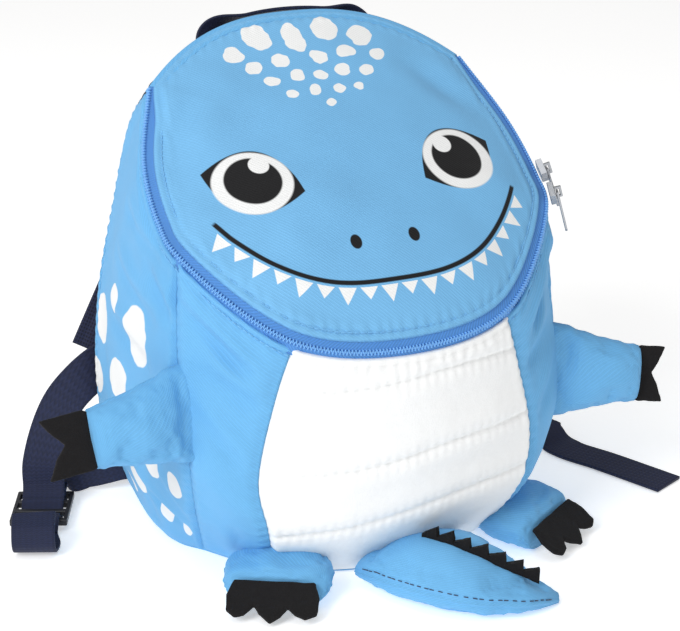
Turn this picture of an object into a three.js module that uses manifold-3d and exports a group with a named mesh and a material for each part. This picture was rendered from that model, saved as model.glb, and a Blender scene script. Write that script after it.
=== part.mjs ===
// Small child's animal backpack: soft shell, zipped lid, stuffed limbs and straps.
// Millimetres, +Z up. The bag stands on z = 0 and its face looks along -Y.

import * as THREE from 'three';
import { mergeVertices } from 'three/addons/utils/BufferGeometryUtils.js';
import Module from 'manifold-3d';

const wasm = await Module();
wasm.setup();

// Overall size of the bag's body
const HALF_WIDTH = 127;
const BACK_Y = 74;
const BELLY_Y = -112;
const HEIGHT = 290;

// Cloth, padding and clearances
const CLOTH = 2;
const FLEECE = 3;
const BACK_PAD = 5;
const FELT = 3;
const WEBBING = 2;
const GAP = 0.3;

// Zip and lid
const ZIP_HALF = 7.6;
const COIL_HALF = 1.7;
const COIL_HEIGHT = 2.6;
const TAPE = 1.2;
const LID_RISE_CHIN = 21;
const LID_RISE_BROW = 9;

// Limbs
const ARM_LENGTH = 51;
const ARM_ROOT = 27;
const ARM_CUFF = 16;
const ARM_THICK = 11;
const CLAW_TALL = 33;
const FOOT_LENGTH = 47;
const FOOT_HALF = 30;
const FOOT_TALL = 25;
const TOE_LENGTH = 23;
const TAIL_HALF = 33;
const TAIL_TALL = 28;
const TAIL_LENGTH = 73;
const SPIKE_TALL = 11;

// Straps and their hardware
const WEBBING_WIDTH = 25;
const STRAP_WIDTH = 46;
const STRAP_THICK = 9;
const HANDLE_SPAN = 88;
const HANDLE_RISE = 23;
const HANDLE_REACH = 20;
const BUCKLE_LENGTH = 38;
const BUCKLE_WIDTH = 34;
const BUCKLE_THICK = 4;
const PULL_LENGTH = 25;
const PULL_WIDTH = 6;
const PULL_THICK = 1.4;
const SLIDER_LENGTH = 11;
const SLIDER_WIDTH = 8;
const SLIDER_TALL = 3.6;

const V = (x, y, z) => new THREE.Vector3(x, y, z);
const lerp = THREE.MathUtils.lerp;

// Sewn columns of the shell from the back's middle to the belly's middle, from floor to rim.
// x is a share of HALF_WIDTH, y of BACK_Y behind and of BELLY_Y in front, z of HEIGHT.
const COLUMNS = [
  { name: 'back middle', x: [0, 0, 0, 0, 0, 0], y: [1, 1, 1, 1, 1, 0.98], z: [0, 0.2, 0.42, 0.7, 0.955, 1] },
  { name: 'back corner', x: [0.86, 0.99, 0.98, 0.88, 0.79, 0.75], y: [1, 1, 1, 1, 0.96, 0.6],
    z: [0, 0.2, 0.42, 0.65, 0.82, 0.9] },
  { name: 'side', x: [0.88, 1, 0.99, 0.95, 0.875], y: [0.34, 0.34, 0.3, 0.2, 0.07],
    z: [0, 0.23, 0.45, 0.64, 0.785] },
  { name: 'side front', x: [0.83, 0.95, 0.96, 0.94, 0.895], y: [-0.09, -0.14, -0.2, -0.23, -0.25],
    z: [0, 0.24, 0.42, 0.57, 0.705] },
  { name: 'front seam', x: [0.739, 0.843, 0.89, 0.893, 0.87], y: [-0.224, -0.458, -0.562, -0.448, -0.421],
    z: [0, 0.157, 0.292, 0.464, 0.667] },
  { name: 'belly edge', x: [0.5, 0.61, 0.65, 0.57, 0.49], y: [-0.55, -0.82, -0.83, -0.84, -0.866],
    z: [0, 0.15, 0.25, 0.42, 0.532] },
  { name: 'belly middle', x: [0, 0, 0, 0, 0], y: [-0.73, -0.96, -1, -0.99, -0.973],
    z: [0, 0.17, 0.31, 0.42, 0.503] },
];
const SEAM = { corner: 1, front: 4, belly: 5, middle: 6 };

const yAt = (share) => (share > 0 ? share * BACK_Y : -share * BELLY_Y);
const columnPoint = (c, i) => V(c.x[i] * HALF_WIDTH, yAt(c.y[i]), c.z[i] * HEIGHT);
const columnCurves = COLUMNS.map((c) => {
  const points = c.x.map((_, i) => columnPoint(c, i));
  return new THREE.CatmullRomCurve3(points, false, 'centripetal');
});
const columnLengths = columnCurves.map((c) => c.getLength());

// One level line of the wrap from corner to corner round the front, cached for each height share
const levelCache = new Map();
function levelLine(v) {
  if (!levelCache.has(v)) {
    const right = columnCurves.slice(SEAM.corner).map((c) => c.getPointAt(v));
    const left = right.slice(0, -1).reverse().map((p) => V(-p.x, p.y, p.z));
    levelCache.set(v, new THREE.CatmullRomCurve3([...right, ...left], false, 'centripetal'));
  }
  return levelCache.get(v);
}

// A point of the shell: u counts columns from the back's middle (negative on the left side)
function shell(u, v) {
  if (Math.abs(u) > SEAM.middle) return shell(u - Math.sign(u) * 2 * SEAM.middle, v);
  const side = Math.sign(u) || 1;
  const a = Math.abs(u);
  if (a >= SEAM.corner) {
    const wraps = 2 * (SEAM.middle - SEAM.corner);
    const p = levelLine(v).getPoint((a - SEAM.corner) / wraps);
    return V(side * p.x, p.y, p.z);
  }
  const middle = columnCurves[0].getPointAt(v);
  const corner = columnCurves[1].getPointAt(v);
  const bend = a ** 2.5;
  return V(side * a * corner.x, lerp(middle.y, corner.y, bend), lerp(middle.z, corner.z, bend));
}

function columnLength(u) {
  const a = Math.abs(u) > SEAM.middle ? 2 * SEAM.middle - Math.abs(u) : Math.abs(u);
  const i = Math.min(Math.floor(a), SEAM.middle - 1);
  return lerp(columnLengths[i], columnLengths[i + 1], a - i);
}

// The lid: a dome over the rim, r = 1 on the rim and 0 at the crown
const chin = shell(SEAM.middle, 1);
const brow = shell(0, 1);
const crown = chin.clone().lerp(brow, 0.5);
const lidAlong = brow.clone().sub(chin).normalize();
const lidUp = V(1, 0, 0).cross(lidAlong).normalize();
const lidLength = brow.distanceTo(chin);

function lid(u, r) {
  const edge = shell(u, 1);
  const lift = edge.clone().sub(chin).dot(lidUp);
  edge.addScaledVector(lidUp, -lift);
  const p = crown.clone().lerp(edge, r);
  const t = p.clone().sub(chin).dot(lidAlong) / lidLength;
  const rise = lerp(LID_RISE_CHIN, LID_RISE_BROW, THREE.MathUtils.smoothstep(t, 0.05, 0.95));
  return p.addScaledVector(lidUp, lift * r ** 2 + rise * (1 - r ** 3));
}

// Round the rim: s < 0 runs down the wall and s > 0 runs up the lid, in millimetres
function rim(u, s) {
  if (s <= 0) return shell(u, 1 + s / columnLength(u));
  const reach = shell(u, 1).distanceTo(crown);
  return lid(u, 1 - s / reach);
}

// A closed body from a grid of outer points and a grid of inner ones
function bodyFromGrids(outer, inner) {
  const nu = outer.length;
  const nv = outer[0].length;
  const points = [...outer.flat(), ...inner.flat()];
  const id = (layer, i, j) => layer * nu * nv + i * nv + j;
  const faces = [];
  const quad = (a, b, c, d) => faces.push(a, b, c, a, c, d);
  for (let i = 0; i < nu - 1; i += 1) {
    for (let j = 0; j < nv - 1; j += 1) {
      quad(id(0, i, j), id(0, i + 1, j), id(0, i + 1, j + 1), id(0, i, j + 1));
      quad(id(1, i, j), id(1, i, j + 1), id(1, i + 1, j + 1), id(1, i + 1, j));
    }
    quad(id(0, i, 0), id(1, i, 0), id(1, i + 1, 0), id(0, i + 1, 0));
    quad(id(0, i, nv - 1), id(0, i + 1, nv - 1), id(1, i + 1, nv - 1), id(1, i, nv - 1));
  }
  for (let j = 0; j < nv - 1; j += 1) {
    quad(id(0, 0, j), id(0, 0, j + 1), id(1, 0, j + 1), id(1, 0, j));
    quad(id(0, nu - 1, j), id(1, nu - 1, j), id(1, nu - 1, j + 1), id(0, nu - 1, j + 1));
  }
  return solid(points, faces);
}

// Closed geometry from points and triangle indices, turned to face out
function solid(points, faces) {
  let volume = 0;
  for (let i = 0; i < faces.length; i += 3) {
    const [a, b, c] = [points[faces[i]], points[faces[i + 1]], points[faces[i + 2]]];
    volume += a.dot(b.clone().cross(c));
  }
  if (volume < 0) faces.reverse();
  const geometry = new THREE.BufferGeometry();
  geometry.setAttribute('position', new THREE.Float32BufferAttribute(points.flatMap((p) => p.toArray()), 3));
  geometry.setIndex(faces);
  return geometry;
}

// The shell's outward way at a place of a sheet
const inside = V(0, 0, HEIGHT * 0.42);
function outward(f, a, b, stepA, stepB) {
  const da = f(a + stepA, b).sub(f(a - stepA, b));
  const db = f(a, b + stepB).sub(f(a, b - stepB));
  const normal = da.cross(db).normalize();
  return normal.dot(f(a, b).sub(inside)) < 0 ? normal.negate() : normal;
}

// A sewn cloth panel: f(a, b) gives its outer face, and the cloth lies inside it.
// Two panels on one seam share the seam's outward way, so that their edges stay parallel.
function panel(f, [from, to], bRange, nu, nv, thickness, stepB) {
  const outer = [];
  const inner = [];
  const inset = [seamStep(from), seamStep(to)];
  for (let i = 0; i <= nu; i += 1) {
    const seam = lerp(from, to, i / nu);
    const a = lerp(from + inset[0], to - inset[1], i / nu);
    const row = Array.from({ length: nv + 1 }, (_, j) => {
      const b = lerp(...bRange(a), j / nv);
      return { p: f(a, b), normal: outward(f, seam, b, 0.02, stepB) };
    });
    outer.push(row.map(({ p }) => p));
    inner.push(row.map(({ p, normal }) => p.clone().addScaledVector(normal, -thickness)));
  }
  return bodyFromGrids(outer, inner);
}

// Half the seam clearance turned into a step of u, at mid height
function seamStep(u) {
  const span = shell(u + 0.05, 0.5).distanceTo(shell(u - 0.05, 0.5));
  return (0.1 * 0.6 * GAP) / span;
}

// Walls stop short of the floor piece and of the zip or binding
const wallRange = (u) => {
  const length = columnLength(u);
  return [(CLOTH + 2 * GAP) / length, 1 - (ZIP_HALF + GAP) / length];
};
const wall = (from, to, nu, nv, thickness) => panel(shell, [from, to], wallRange, nu, nv, thickness, 0.004);
function merged(geometry) {
  const bare = geometry.clone();
  bare.deleteAttribute('normal');
  bare.deleteAttribute('uv');
  return mergeVertices(bare, 1e-4);
}
const mirrored = (geometry) => {
  const copy = merged(geometry);
  copy.applyMatrix4(new THREE.Matrix4().makeScale(-1, 1, 1));
  copy.index.array.reverse();
  return copy;
};

function basePanel() {
  const outline = [];
  const sides = 60;
  for (let i = 0; i < sides; i += 1) {
    const u = -SEAM.middle + (2 * SEAM.middle * i) / sides;
    const p = shell(u, 0);
    outline.push(new THREE.Vector2(p.x, p.y));
  }
  const shape = new THREE.Shape(outline);
  return new THREE.ExtrudeGeometry(shape, { depth: CLOTH, bevelEnabled: false });
}

// A disc-shaped sheet: the lid inside its edge
const FACE_GRID = { around: 52, rings: 7 };

function facePanel(around, rings) {
  const outer = [];
  const inner = [];
  for (let i = 0; i < around; i += 1) {
    const u = -SEAM.middle + (2 * SEAM.middle * i) / around;
    const reach = shell(u, 1).distanceTo(crown);
    const edge = 1 - (ZIP_HALF + GAP) / reach;
    const outerRow = [];
    const innerRow = [];
    for (let j = 0; j < rings; j += 1) {
      const r = edge * (1 - (j / rings) ** 1.3);
      const p = lid(u, r);
      const radial = lid(u, r - 0.01).sub(lid(u, r + 0.01));
      const tangent = lid(u + 0.02, r).sub(lid(u - 0.02, r));
      const normal = radial.cross(tangent).normalize();
      if (normal.dot(lidUp) < 0) normal.negate();
      outerRow.push(p);
      innerRow.push(p.clone().addScaledVector(normal, -CLOTH));
    }
    outer.push(outerRow);
    inner.push(innerRow);
  }
  return discFromGrids(outer, inner, lid(0, 0), lid(0, 0).addScaledVector(lidUp, -CLOTH));
}

function discFromGrids(outer, inner, outerMiddle, innerMiddle) {
  const nu = outer.length;
  const nv = outer[0].length;
  const points = [...outer.flat(), ...inner.flat(), outerMiddle, innerMiddle];
  const id = (layer, i, j) => layer * nu * nv + (i % nu) * nv + j;
  const faces = [];
  const quad = (a, b, c, d) => faces.push(a, b, c, a, c, d);
  for (let i = 0; i < nu; i += 1) {
    for (let j = 0; j < nv - 1; j += 1) {
      quad(id(0, i, j), id(0, i + 1, j), id(0, i + 1, j + 1), id(0, i, j + 1));
      quad(id(1, i, j), id(1, i, j + 1), id(1, i + 1, j + 1), id(1, i + 1, j));
    }
    quad(id(0, i, 0), id(1, i, 0), id(1, i + 1, 0), id(0, i + 1, 0));
    faces.push(id(0, i, nv - 1), id(0, i + 1, nv - 1), 2 * nu * nv);
    faces.push(id(1, i, nv - 1), 2 * nu * nv + 1, id(1, i + 1, nv - 1));
  }
  return solid(points, faces);
}

// Zip parts and binding follow the rim
const rimStrip = (from, to, s0, s1, nu, nv) => panel(rim, [from, to], () => [s0, s1], nu, nv, TAPE, 0.5);

// The zip faces outward more than upward, so its way out leans to the wall's side
const WALL_LEAN = 0.75;
function rimFrame(u) {
  const p = rim(u, 0);
  const along = rim(u + 0.02, 0).sub(rim(u - 0.02, 0)).normalize();
  const wallOut = rim(u, -COIL_HALF).sub(p).cross(along).normalize();
  const lidOut = rim(u, COIL_HALF).sub(p).cross(along).normalize();
  for (const way of [wallOut, lidOut]) {
    if (way.dot(p.clone().sub(inside)) < 0) way.negate();
  }
  const out = lidOut.lerp(wallOut, WALL_LEAN).normalize();
  return { p, out, along, cross: out.clone().cross(along).normalize() };
}

// A swept solid: ring(i) gives each section's points in order
function sweep(sections) {
  const n = sections[0].length;
  const points = sections.flat();
  const faces = [];
  for (let i = 0; i < sections.length - 1; i += 1) {
    for (let j = 0; j < n; j += 1) {
      const a = i * n + j;
      const b = i * n + ((j + 1) % n);
      faces.push(a, b, b + n, a, b + n, a + n);
    }
  }
  const last = (sections.length - 1) * n;
  for (let j = 1; j < n - 1; j += 1) {
    faces.push(0, j + 1, j);
    faces.push(last, last + j, last + j + 1);
  }
  return solid(points, faces);
}

function zipCoil(from, to, count) {
  const sections = [];
  for (let i = 0; i <= count; i += 1) {
    const { p, out, cross } = rimFrame(lerp(from, to, i / count));
    const middle = p.clone().addScaledVector(out, 0.2 * COIL_HEIGHT);
    const corner = (x, y) => middle.clone().addScaledVector(cross, x).addScaledVector(out, y);
    const w = COIL_HALF - GAP / 2;
    const h = COIL_HEIGHT / 2;
    sections.push([corner(-w, -0.4 * h), corner(w, -0.4 * h), corner(0.6 * w, h), corner(-0.6 * w, h)]);
  }
  return sweep(sections);
}

// Oval sections along a curve: a stuffed limb. Rows hold shares of its length, half width and height.
function stuffed(rows, place, sides) {
  return sweep(rows.map((row) => {
    const { origin, wide, tall } = place(row);
    const ring = [];
    for (let j = 0; j < sides; j += 1) {
      const angle = (2 * Math.PI * j) / sides;
      const c = Math.cos(angle);
      const s = Math.sin(angle);
      const x = Math.sign(c) * Math.abs(c) ** 0.85 * row.wide;
      const y = Math.sign(s) * Math.abs(s) ** 0.85 * row.tall;
      ring.push(origin.clone().addScaledVector(wide, x).addScaledVector(tall, y));
    }
    return ring;
  }));
}

// Solids for cutting and joining
function toManifold(geometry) {
  const { attributes, index } = merged(geometry);
  return new wasm.Manifold(new wasm.Mesh({
    numProp: 3,
    vertProperties: new Float32Array(attributes.position.array),
    triVerts: new Uint32Array(index.array),
  }));
}

function fromManifold(manifold) {
  const mesh = manifold.getMesh();
  const geometry = new THREE.BufferGeometry();
  geometry.setAttribute('position', new THREE.BufferAttribute(new Float32Array(mesh.vertProperties), 3));
  geometry.setIndex(new THREE.BufferAttribute(new Uint32Array(mesh.triVerts), 1));
  return geometry;
}

const cut = (geometry, ...tools) =>
  fromManifold(tools.reduce((rest, tool) => rest.subtract(tool), toManifold(geometry)));
const joined = (first, ...others) =>
  fromManifold(others.reduce((all, other) => all.add(toManifold(other)), toManifold(first)));

// The space that the shell fills, grown by the gap, which limbs and straps stay out of
function shellEnvelope(grow) {
  const around = 72;
  const levels = 18;
  const sections = [];
  const lift = (p, dir) => p.clone().addScaledVector(dir, grow);
  for (let j = 0; j <= levels; j += 1) {
    const v = j / levels;
    const ring = [];
    for (let i = 0; i < around; i += 1) {
      const u = -SEAM.middle + (2 * SEAM.middle * i) / around;
      const p = shell(u, v);
      const normal = outward(shell, u, Math.min(0.99, Math.max(0.01, v)), 0.02, 0.01);
      const q = lift(p, normal);
      if (j === 0) q.z = -1;
      ring.push(q);
    }
    sections.push(ring);
  }
  return toManifold(sweep(sections));
}
const keepOut = shellEnvelope(GAP + 0.25);

// A flat piece of felt or metal, drawn in its own plane and stood in a frame of three directions
function flatPiece(outline, thickness, origin, x, y) {
  const shape = new THREE.Shape(outline.map(([a, b]) => new THREE.Vector2(a, b)));
  const geometry = new THREE.ExtrudeGeometry(shape, { depth: thickness, bevelEnabled: false });
  const z = x.clone().cross(y).normalize();
  const start = origin.clone().addScaledVector(z, -thickness / 2);
  geometry.applyMatrix4(new THREE.Matrix4().makeBasis(x, y, z).setPosition(start));
  return geometry;
}

// Arms: sewn into the front seam, flat, standing out and a little forward
const ARM_ROWS = [
  { along: -0.2, wide: 1, tall: 0.3 },
  { along: 0.02, wide: 1, tall: 0.42 },
  { along: 0.22, wide: 0.88, tall: 0.85 },
  { along: 0.5, wide: 0.74, tall: 1 },
  { along: 0.82, wide: 0.61, tall: 0.86 },
  { along: 1, wide: 0.56, tall: 0.5 },
];

const ARMS = {
  left: { side: -1, level: 0.565, droop: 0.06, claw: 27 },
  right: { side: 1, level: 0.52, droop: 0.17, claw: 18 },
};

function armFrame({ side, level, droop }) {
  const root = shell(side * SEAM.front, level);
  const out = V(side, -0.1, -droop).normalize();
  const up = V(0, 0.3, 1).normalize();
  const wide = up.clone().addScaledVector(out, -up.dot(out)).normalize();
  return { root, out, wide, tall: out.clone().cross(wide) };
}

function arm(where) {
  const { root, out, wide, tall } = armFrame(where);
  const rows = ARM_ROWS.map((row) => ({
    along: row.along * ARM_LENGTH,
    wide: lerp(ARM_CUFF, ARM_ROOT, (row.wide - 0.56) / 0.44),
    tall: row.tall * ARM_THICK,
  }));
  const place = (row) => ({ origin: root.clone().addScaledVector(out, row.along), wide, tall });
  return cut(stuffed(rows, place, 16), keepOut);
}

// Claw of the arm: a felt plate with two points and a notch, its root at the cuff
const CLAW_OUTLINE = [
  [0, -0.46], [0.1, -0.5], [1, -0.5], [0.8, -0.2], [0.56, 0.02], [0.78, 0.22], [1, 0.5], [0.1, 0.5], [0, 0.46],
];

function armClaw(where) {
  const { root, out, wide } = armFrame(where);
  const start = root.clone().addScaledVector(out, ARM_LENGTH + GAP);
  const outline = CLAW_OUTLINE.map(([a, b]) => [a * where.claw, b * CLAW_TALL]);
  return flatPiece(outline, FELT, start, out, wide);
}

// Feet: stuffed pads on the floor under the front corners
const FOOT_ROWS = [
  { along: 0, wide: 0.5, tall: 0.8 },
  { along: 0.3, wide: 0.78, tall: 1 },
  { along: 0.62, wide: 1, tall: 0.98 },
  { along: 0.88, wide: 0.97, tall: 0.9 },
  { along: 1, wide: 0.86, tall: 0.72 },
];
const FEET = {
  left: { x: -0.43, y: 0.52, turn: -27 },
  right: { x: 0.56, y: 0.43, turn: 36 },
};

function footFrame({ x, y, turn }) {
  const angle = THREE.MathUtils.degToRad(turn);
  const out = V(Math.sin(angle), -Math.cos(angle), 0);
  return { out, start: V(x * HALF_WIDTH, y * BELLY_Y, 0), wide: V(-out.y, out.x, 0) };
}

function foot(where) {
  const { out, start, wide } = footFrame(where);
  const rows = FOOT_ROWS.map((row) => ({
    along: row.along * FOOT_LENGTH,
    wide: row.wide * FOOT_HALF,
    tall: (row.tall * FOOT_TALL) / 2,
  }));
  const place = (row) => ({
    origin: start.clone().addScaledVector(out, row.along).setZ(row.tall),
    wide,
    tall: V(0, 0, 1),
  });
  return cut(stuffed(rows, place, 18), keepOut);
}

// Three felt toes as one plate that leans from the pad's upper edge down to the floor
const TOE_OUTLINE = [
  [0, -0.76], [0.4, -0.86], [0.8, -0.84], [0.98, -0.68], [0.92, -0.5], [0.68, -0.34], [0.86, -0.24], [1.1, -0.02],
  [0.92, 0.16], [0.7, 0.28], [0.86, 0.42], [0.96, 0.62], [0.84, 0.82], [0.4, 0.84], [0, 0.74],
];

const TOE_ROOT = 0.6;

function toes(where) {
  const { out, start, wide } = footFrame(where);
  const rise = TOE_ROOT * FOOT_TALL;
  const lean = Math.asin((rise - FELT / 2) / (TOE_LENGTH * 1.1));
  const down = out.clone().multiplyScalar(Math.cos(lean)).addScaledVector(V(0, 0, -1), Math.sin(lean));
  const reach = FOOT_LENGTH + 1.5 * GAP + (FELT / 2) * Math.sin(lean);
  const root = start.clone().addScaledVector(out, reach).setZ(rise + FELT / 2 + FLOOR);
  const outline = TOE_OUTLINE.map(([a, b]) => [a * TOE_LENGTH, b * FOOT_HALF]);
  return flatPiece(outline, FELT, root, down, wide);
}

// Tail: a stuffed cone from under the belly, forward and then to the right
const TAIL_ROWS = [
  { x: 0, y: 0, wide: 0.86, tall: 0.6 },
  { x: 0.1, y: -0.2, wide: 0.96, tall: 0.88 },
  { x: 0.28, y: -0.48, wide: 0.97, tall: 1 },
  { x: 0.52, y: -0.74, wide: 0.82, tall: 0.92 },
  { x: 0.82, y: -0.92, wide: 0.48, tall: 0.64 },
  { x: 1.12, y: -0.98, wide: 0.08, tall: 0.2 },
];

function tailCurve() {
  const root = shell(SEAM.middle, 0);
  const points = TAIL_ROWS.map((r) => V(root.x + r.x * TAIL_LENGTH * 0.86, root.y + r.y * TAIL_LENGTH, 0));
  return new THREE.CatmullRomCurve3(points, false, 'centripetal');
}

function tail() {
  const curve = tailCurve();
  const last = TAIL_ROWS.length - 1;
  const rows = TAIL_ROWS.map((row, i) => ({
    t: i / last,
    wide: row.wide * TAIL_HALF,
    tall: (row.tall * TAIL_TALL) / 2,
  }));
  const place = (row) => {
    const along = curve.getTangent(row.t).setZ(0).normalize();
    return { origin: curve.getPoint(row.t).setZ(row.tall), wide: V(-along.y, along.x, 0), tall: V(0, 0, 1) };
  };
  return cut(stuffed(rows, place, 18), keepOut);
}

// Felt spikes stand on the tail's ridge and lean towards its tip
const SPIKES = 7;
const SPIKE_SPAN = [0.28, 0.88];

function tailSpikes() {
  const curve = tailCurve();
  const top = [];
  const count = 2 * SPIKES;
  for (let i = 0; i <= count; i += 1) {
    const t = lerp(...SPIKE_SPAN, i / count);
    const p = curve.getPoint(t);
    const height = heightOnTail(t) + GAP;
    const odd = i % 2 === 1;
    const lean = odd ? curve.getTangent(t).setZ(0).normalize().multiplyScalar(0.4 * SPIKE_TALL) : V(0, 0, 0);
    const tall = SPIKE_TALL * lerp(1, 0.6, i / count) * (odd ? 1 : 0.45);
    top.push({ foot: p.clone().setZ(height), tip: p.clone().add(lean).setZ(height + tall) });
  }
  const sections = top.map(({ foot: f, tip }, i) => {
    const along = curve.getTangent(lerp(...SPIKE_SPAN, i / count)).setZ(0).normalize();
    const across = V(-along.y, along.x, 0).multiplyScalar(FELT / 2);
    return [f.clone().sub(across), f.clone().add(across), tip.clone().add(across), tip.clone().sub(across)];
  });
  return cut(sweep(sections), keepOut);
}

function heightOnTail(t) {
  const at = t * (TAIL_ROWS.length - 1);
  const i = Math.min(Math.floor(at), TAIL_ROWS.length - 2);
  return TAIL_TALL * lerp(TAIL_ROWS[i].tall, TAIL_ROWS[i + 1].tall, at - i);
}

// What lies on the floor keeps just above it
const FLOOR = 0.1;

// Flat webbing: rows give its middle line and the way that its width points
function ribbon(points, widths, width, thickness, count) {
  const line = new THREE.CatmullRomCurve3(points, false, 'centripetal');
  const ways = new THREE.CatmullRomCurve3(widths, false, 'centripetal');
  const sections = [];
  for (let i = 0; i <= count; i += 1) {
    const t = i / count;
    const p = line.getPoint(t);
    const along = line.getTangent(t);
    const wide = ways.getPoint(t);
    wide.addScaledVector(along, -wide.dot(along)).normalize();
    const thick = along.clone().cross(wide).normalize();
    wide.multiplyScalar(width / 2);
    thick.multiplyScalar(thickness / 2);
    const at = (a, b) => p.clone().addScaledVector(wide, a).addScaledVector(thick, b);
    const ring = [at(-1, -1), at(1, -1), at(1, 1), at(-1, 1)];
    const sink = Math.max(0, FLOOR - Math.min(...ring.map((q) => q.z)));
    sections.push(ring.map((q) => q.setZ(q.z + sink)));
  }
  return sweep(sections);
}

// Straps behind the back: x is a share of HALF_WIDTH, y of the strap's stand-off and z of HEIGHT
const STRAP_ROWS = [
  { x: 0.3, y: 0.15, z: 0.84, way: [1, 0, 0.1] },
  { x: 0.37, y: 0.6, z: 0.76, way: [1, 0, 0.3] },
  { x: 0.5, y: 0.95, z: 0.63, way: [1, 0.05, 0.45] },
  { x: 0.64, y: 1, z: 0.48, way: [1, 0.15, 0.5] },
  { x: 0.78, y: 0.92, z: 0.36, way: [1, 0.3, 0.5] },
  { x: 0.9, y: 0.72, z: 0.27, way: [1, 0.45, 0.5] },
];
const STRAP_STANDOFF = 30;
const strapPoint = (r) => V(r.x * HALF_WIDTH, BACK_Y + r.y * STRAP_STANDOFF, r.z * HEIGHT);

function shoulderStrap() {
  const ways = STRAP_ROWS.map((row) => V(...row.way));
  return cut(ribbon(STRAP_ROWS.map(strapPoint), ways, STRAP_WIDTH, STRAP_THICK, 10), keepOut);
}

function grabHandle() {
  const end = shell(0.5, 0.905);
  const half = HANDLE_SPAN / 2;
  const y = end.y + WEBBING / 2 + GAP;
  const rows = [[-1, 0, -0.2], [-1, 0, 0.05], [-1, 0.55, 0.6], [-0.55, 0.95, 1], [0.55, 0.95, 1], [1, 0.55, 0.6],
    [1, 0, 0.05], [1, 0, -0.2]];
  const points = rows.map(([x, out, up]) => V(x * half, y + out * HANDLE_REACH, end.z + up * HANDLE_RISE));
  const ways = [[1, 0, 0], [1, 0, 0], [0.8, 0.3, -0.5], [0, 0.9, -0.4], [0, 0.9, -0.4], [-0.8, 0.3, -0.5],
    [-1, 0, 0], [-1, 0, 0]].map((way) => V(...way));
  return cut(ribbon(points, ways, WEBBING_WIDTH, WEBBING, 24), keepOut);
}

// Ladder-lock buckle: four bars and three slots, flat on the floor over the webbing
const BAR = 3.6;
const SLOT = (BUCKLE_LENGTH - 4 * BAR) / 3;
const BAR_LOW = WEBBING + 4 * GAP;
const BAR_HIGH = BAR_LOW + BUCKLE_THICK;
const MIDDLE = (BAR_LOW + BAR_HIGH) / 2;
const BUCKLES = {
  left: { x: -1.28, y: 0.95, turn: -111, bulge: 9 },
  right: { x: 1.13, y: 0.92, turn: -66, bulge: 16 },
};

// Local ways of a buckle: b along it from its sewn end, w across it
function buckleFrame({ x, y, turn }) {
  const angle = THREE.MathUtils.degToRad(turn);
  const b = V(Math.cos(angle), Math.sin(angle), 0);
  return { start: V(x * HALF_WIDTH, y * BACK_Y, 0), b, w: V(-b.y, b.x, 0) };
}
const inBuckle = ({ start, b }, along, z) => start.clone().addScaledVector(b, along).setZ(z);

function block(origin, x, y, z, [sx, sy, sz]) {
  const geometry = new THREE.BoxGeometry(sx, sy, sz);
  geometry.applyMatrix4(new THREE.Matrix4().makeBasis(x, y, z).setPosition(origin));
  return geometry;
}

function buckle(where) {
  const frame = buckleFrame(where);
  const up = V(0, 0, 1);
  const brick = (from, size) => block(inBuckle(frame, from + size[0] / 2, MIDDLE), frame.b, frame.w, up, size);
  const holes = [0, 1, 2].map((i) => {
    const hole = [SLOT, BUCKLE_WIDTH - BAR - 1.4, 2 * BUCKLE_THICK];
    return toManifold(brick(BAR + i * (BAR + SLOT), hole));
  });
  return cut(brick(0, [BUCKLE_LENGTH, BUCKLE_WIDTH, BUCKLE_THICK]), ...holes);
}

// Webbing heights under and over the bars
const UNDER = WEBBING / 2 + 2 * GAP;
const OVER = BAR_HIGH + WEBBING / 2 + 2 * GAP;
const slotAt = (i) => BAR + SLOT / 2 + i * (BAR + SLOT);
const barAt = (i) => BAR / 2 + i * (BAR + SLOT);

// Half a turn round the first bar, and the places where the webbing crosses bar i
const WRAP = (OVER - UNDER) / 2;
function wrap(frame, degrees) {
  const angle = THREE.MathUtils.degToRad(degrees);
  const along = barAt(0) + BAR / 2 + GAP + WRAP * Math.cos(angle);
  return inBuckle(frame, along, UNDER + WRAP * (1 + Math.sin(angle)));
}
const crossing = (frame, i, z) =>
  [-1, 0, 1].map((k) => inBuckle(frame, barAt(i) + k * (BAR / 2 + 2 * GAP), z));

// The tab sewn at the shell's lower corner, wrapped round the buckle's first bar
function anchorTab(where) {
  const side = Math.sign(where.x);
  const frame = buckleFrame(where);
  const root = shell(side * 1.12, 0.075);
  const points = [root.clone().setX(root.x - side * 6), root, root.clone().lerp(inBuckle(frame, -9, OVER), 0.5),
    inBuckle(frame, -9, OVER), inBuckle(frame, -4, OVER),
    ...[90, 45, 0, -45, -90].map((angle) => wrap(frame, angle)), inBuckle(frame, -6, UNDER)];
  const upright = V(0, 0, 1);
  const ways = points.map((_, i) => (i < 2 ? upright.clone() : frame.w.clone()));
  ways[2].add(V(0, 0, 0.8));
  return cut(ribbon(points, ways, WEBBING_WIDTH, WEBBING, 40), keepOut);
}

// The webbing runs from the padded strap through the buckle, over, under and over its bars
const FREE_ENDS = {
  left: [[-1.42, 0.22, 0.01], [-1.46, 0.06, 0.14], [-1.47, 0.02, 0.45], [-1.46, 0.08, 0.8], [-1.43, 0.26, 0.95]],
  right: [[1.3, 0.16, 0.01], [1.4, -0.15, 0.01], [1.49, -0.46, 0.01], [1.57, -0.74, 0.01]],
};
const LOOP_TALL = 20;

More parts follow.
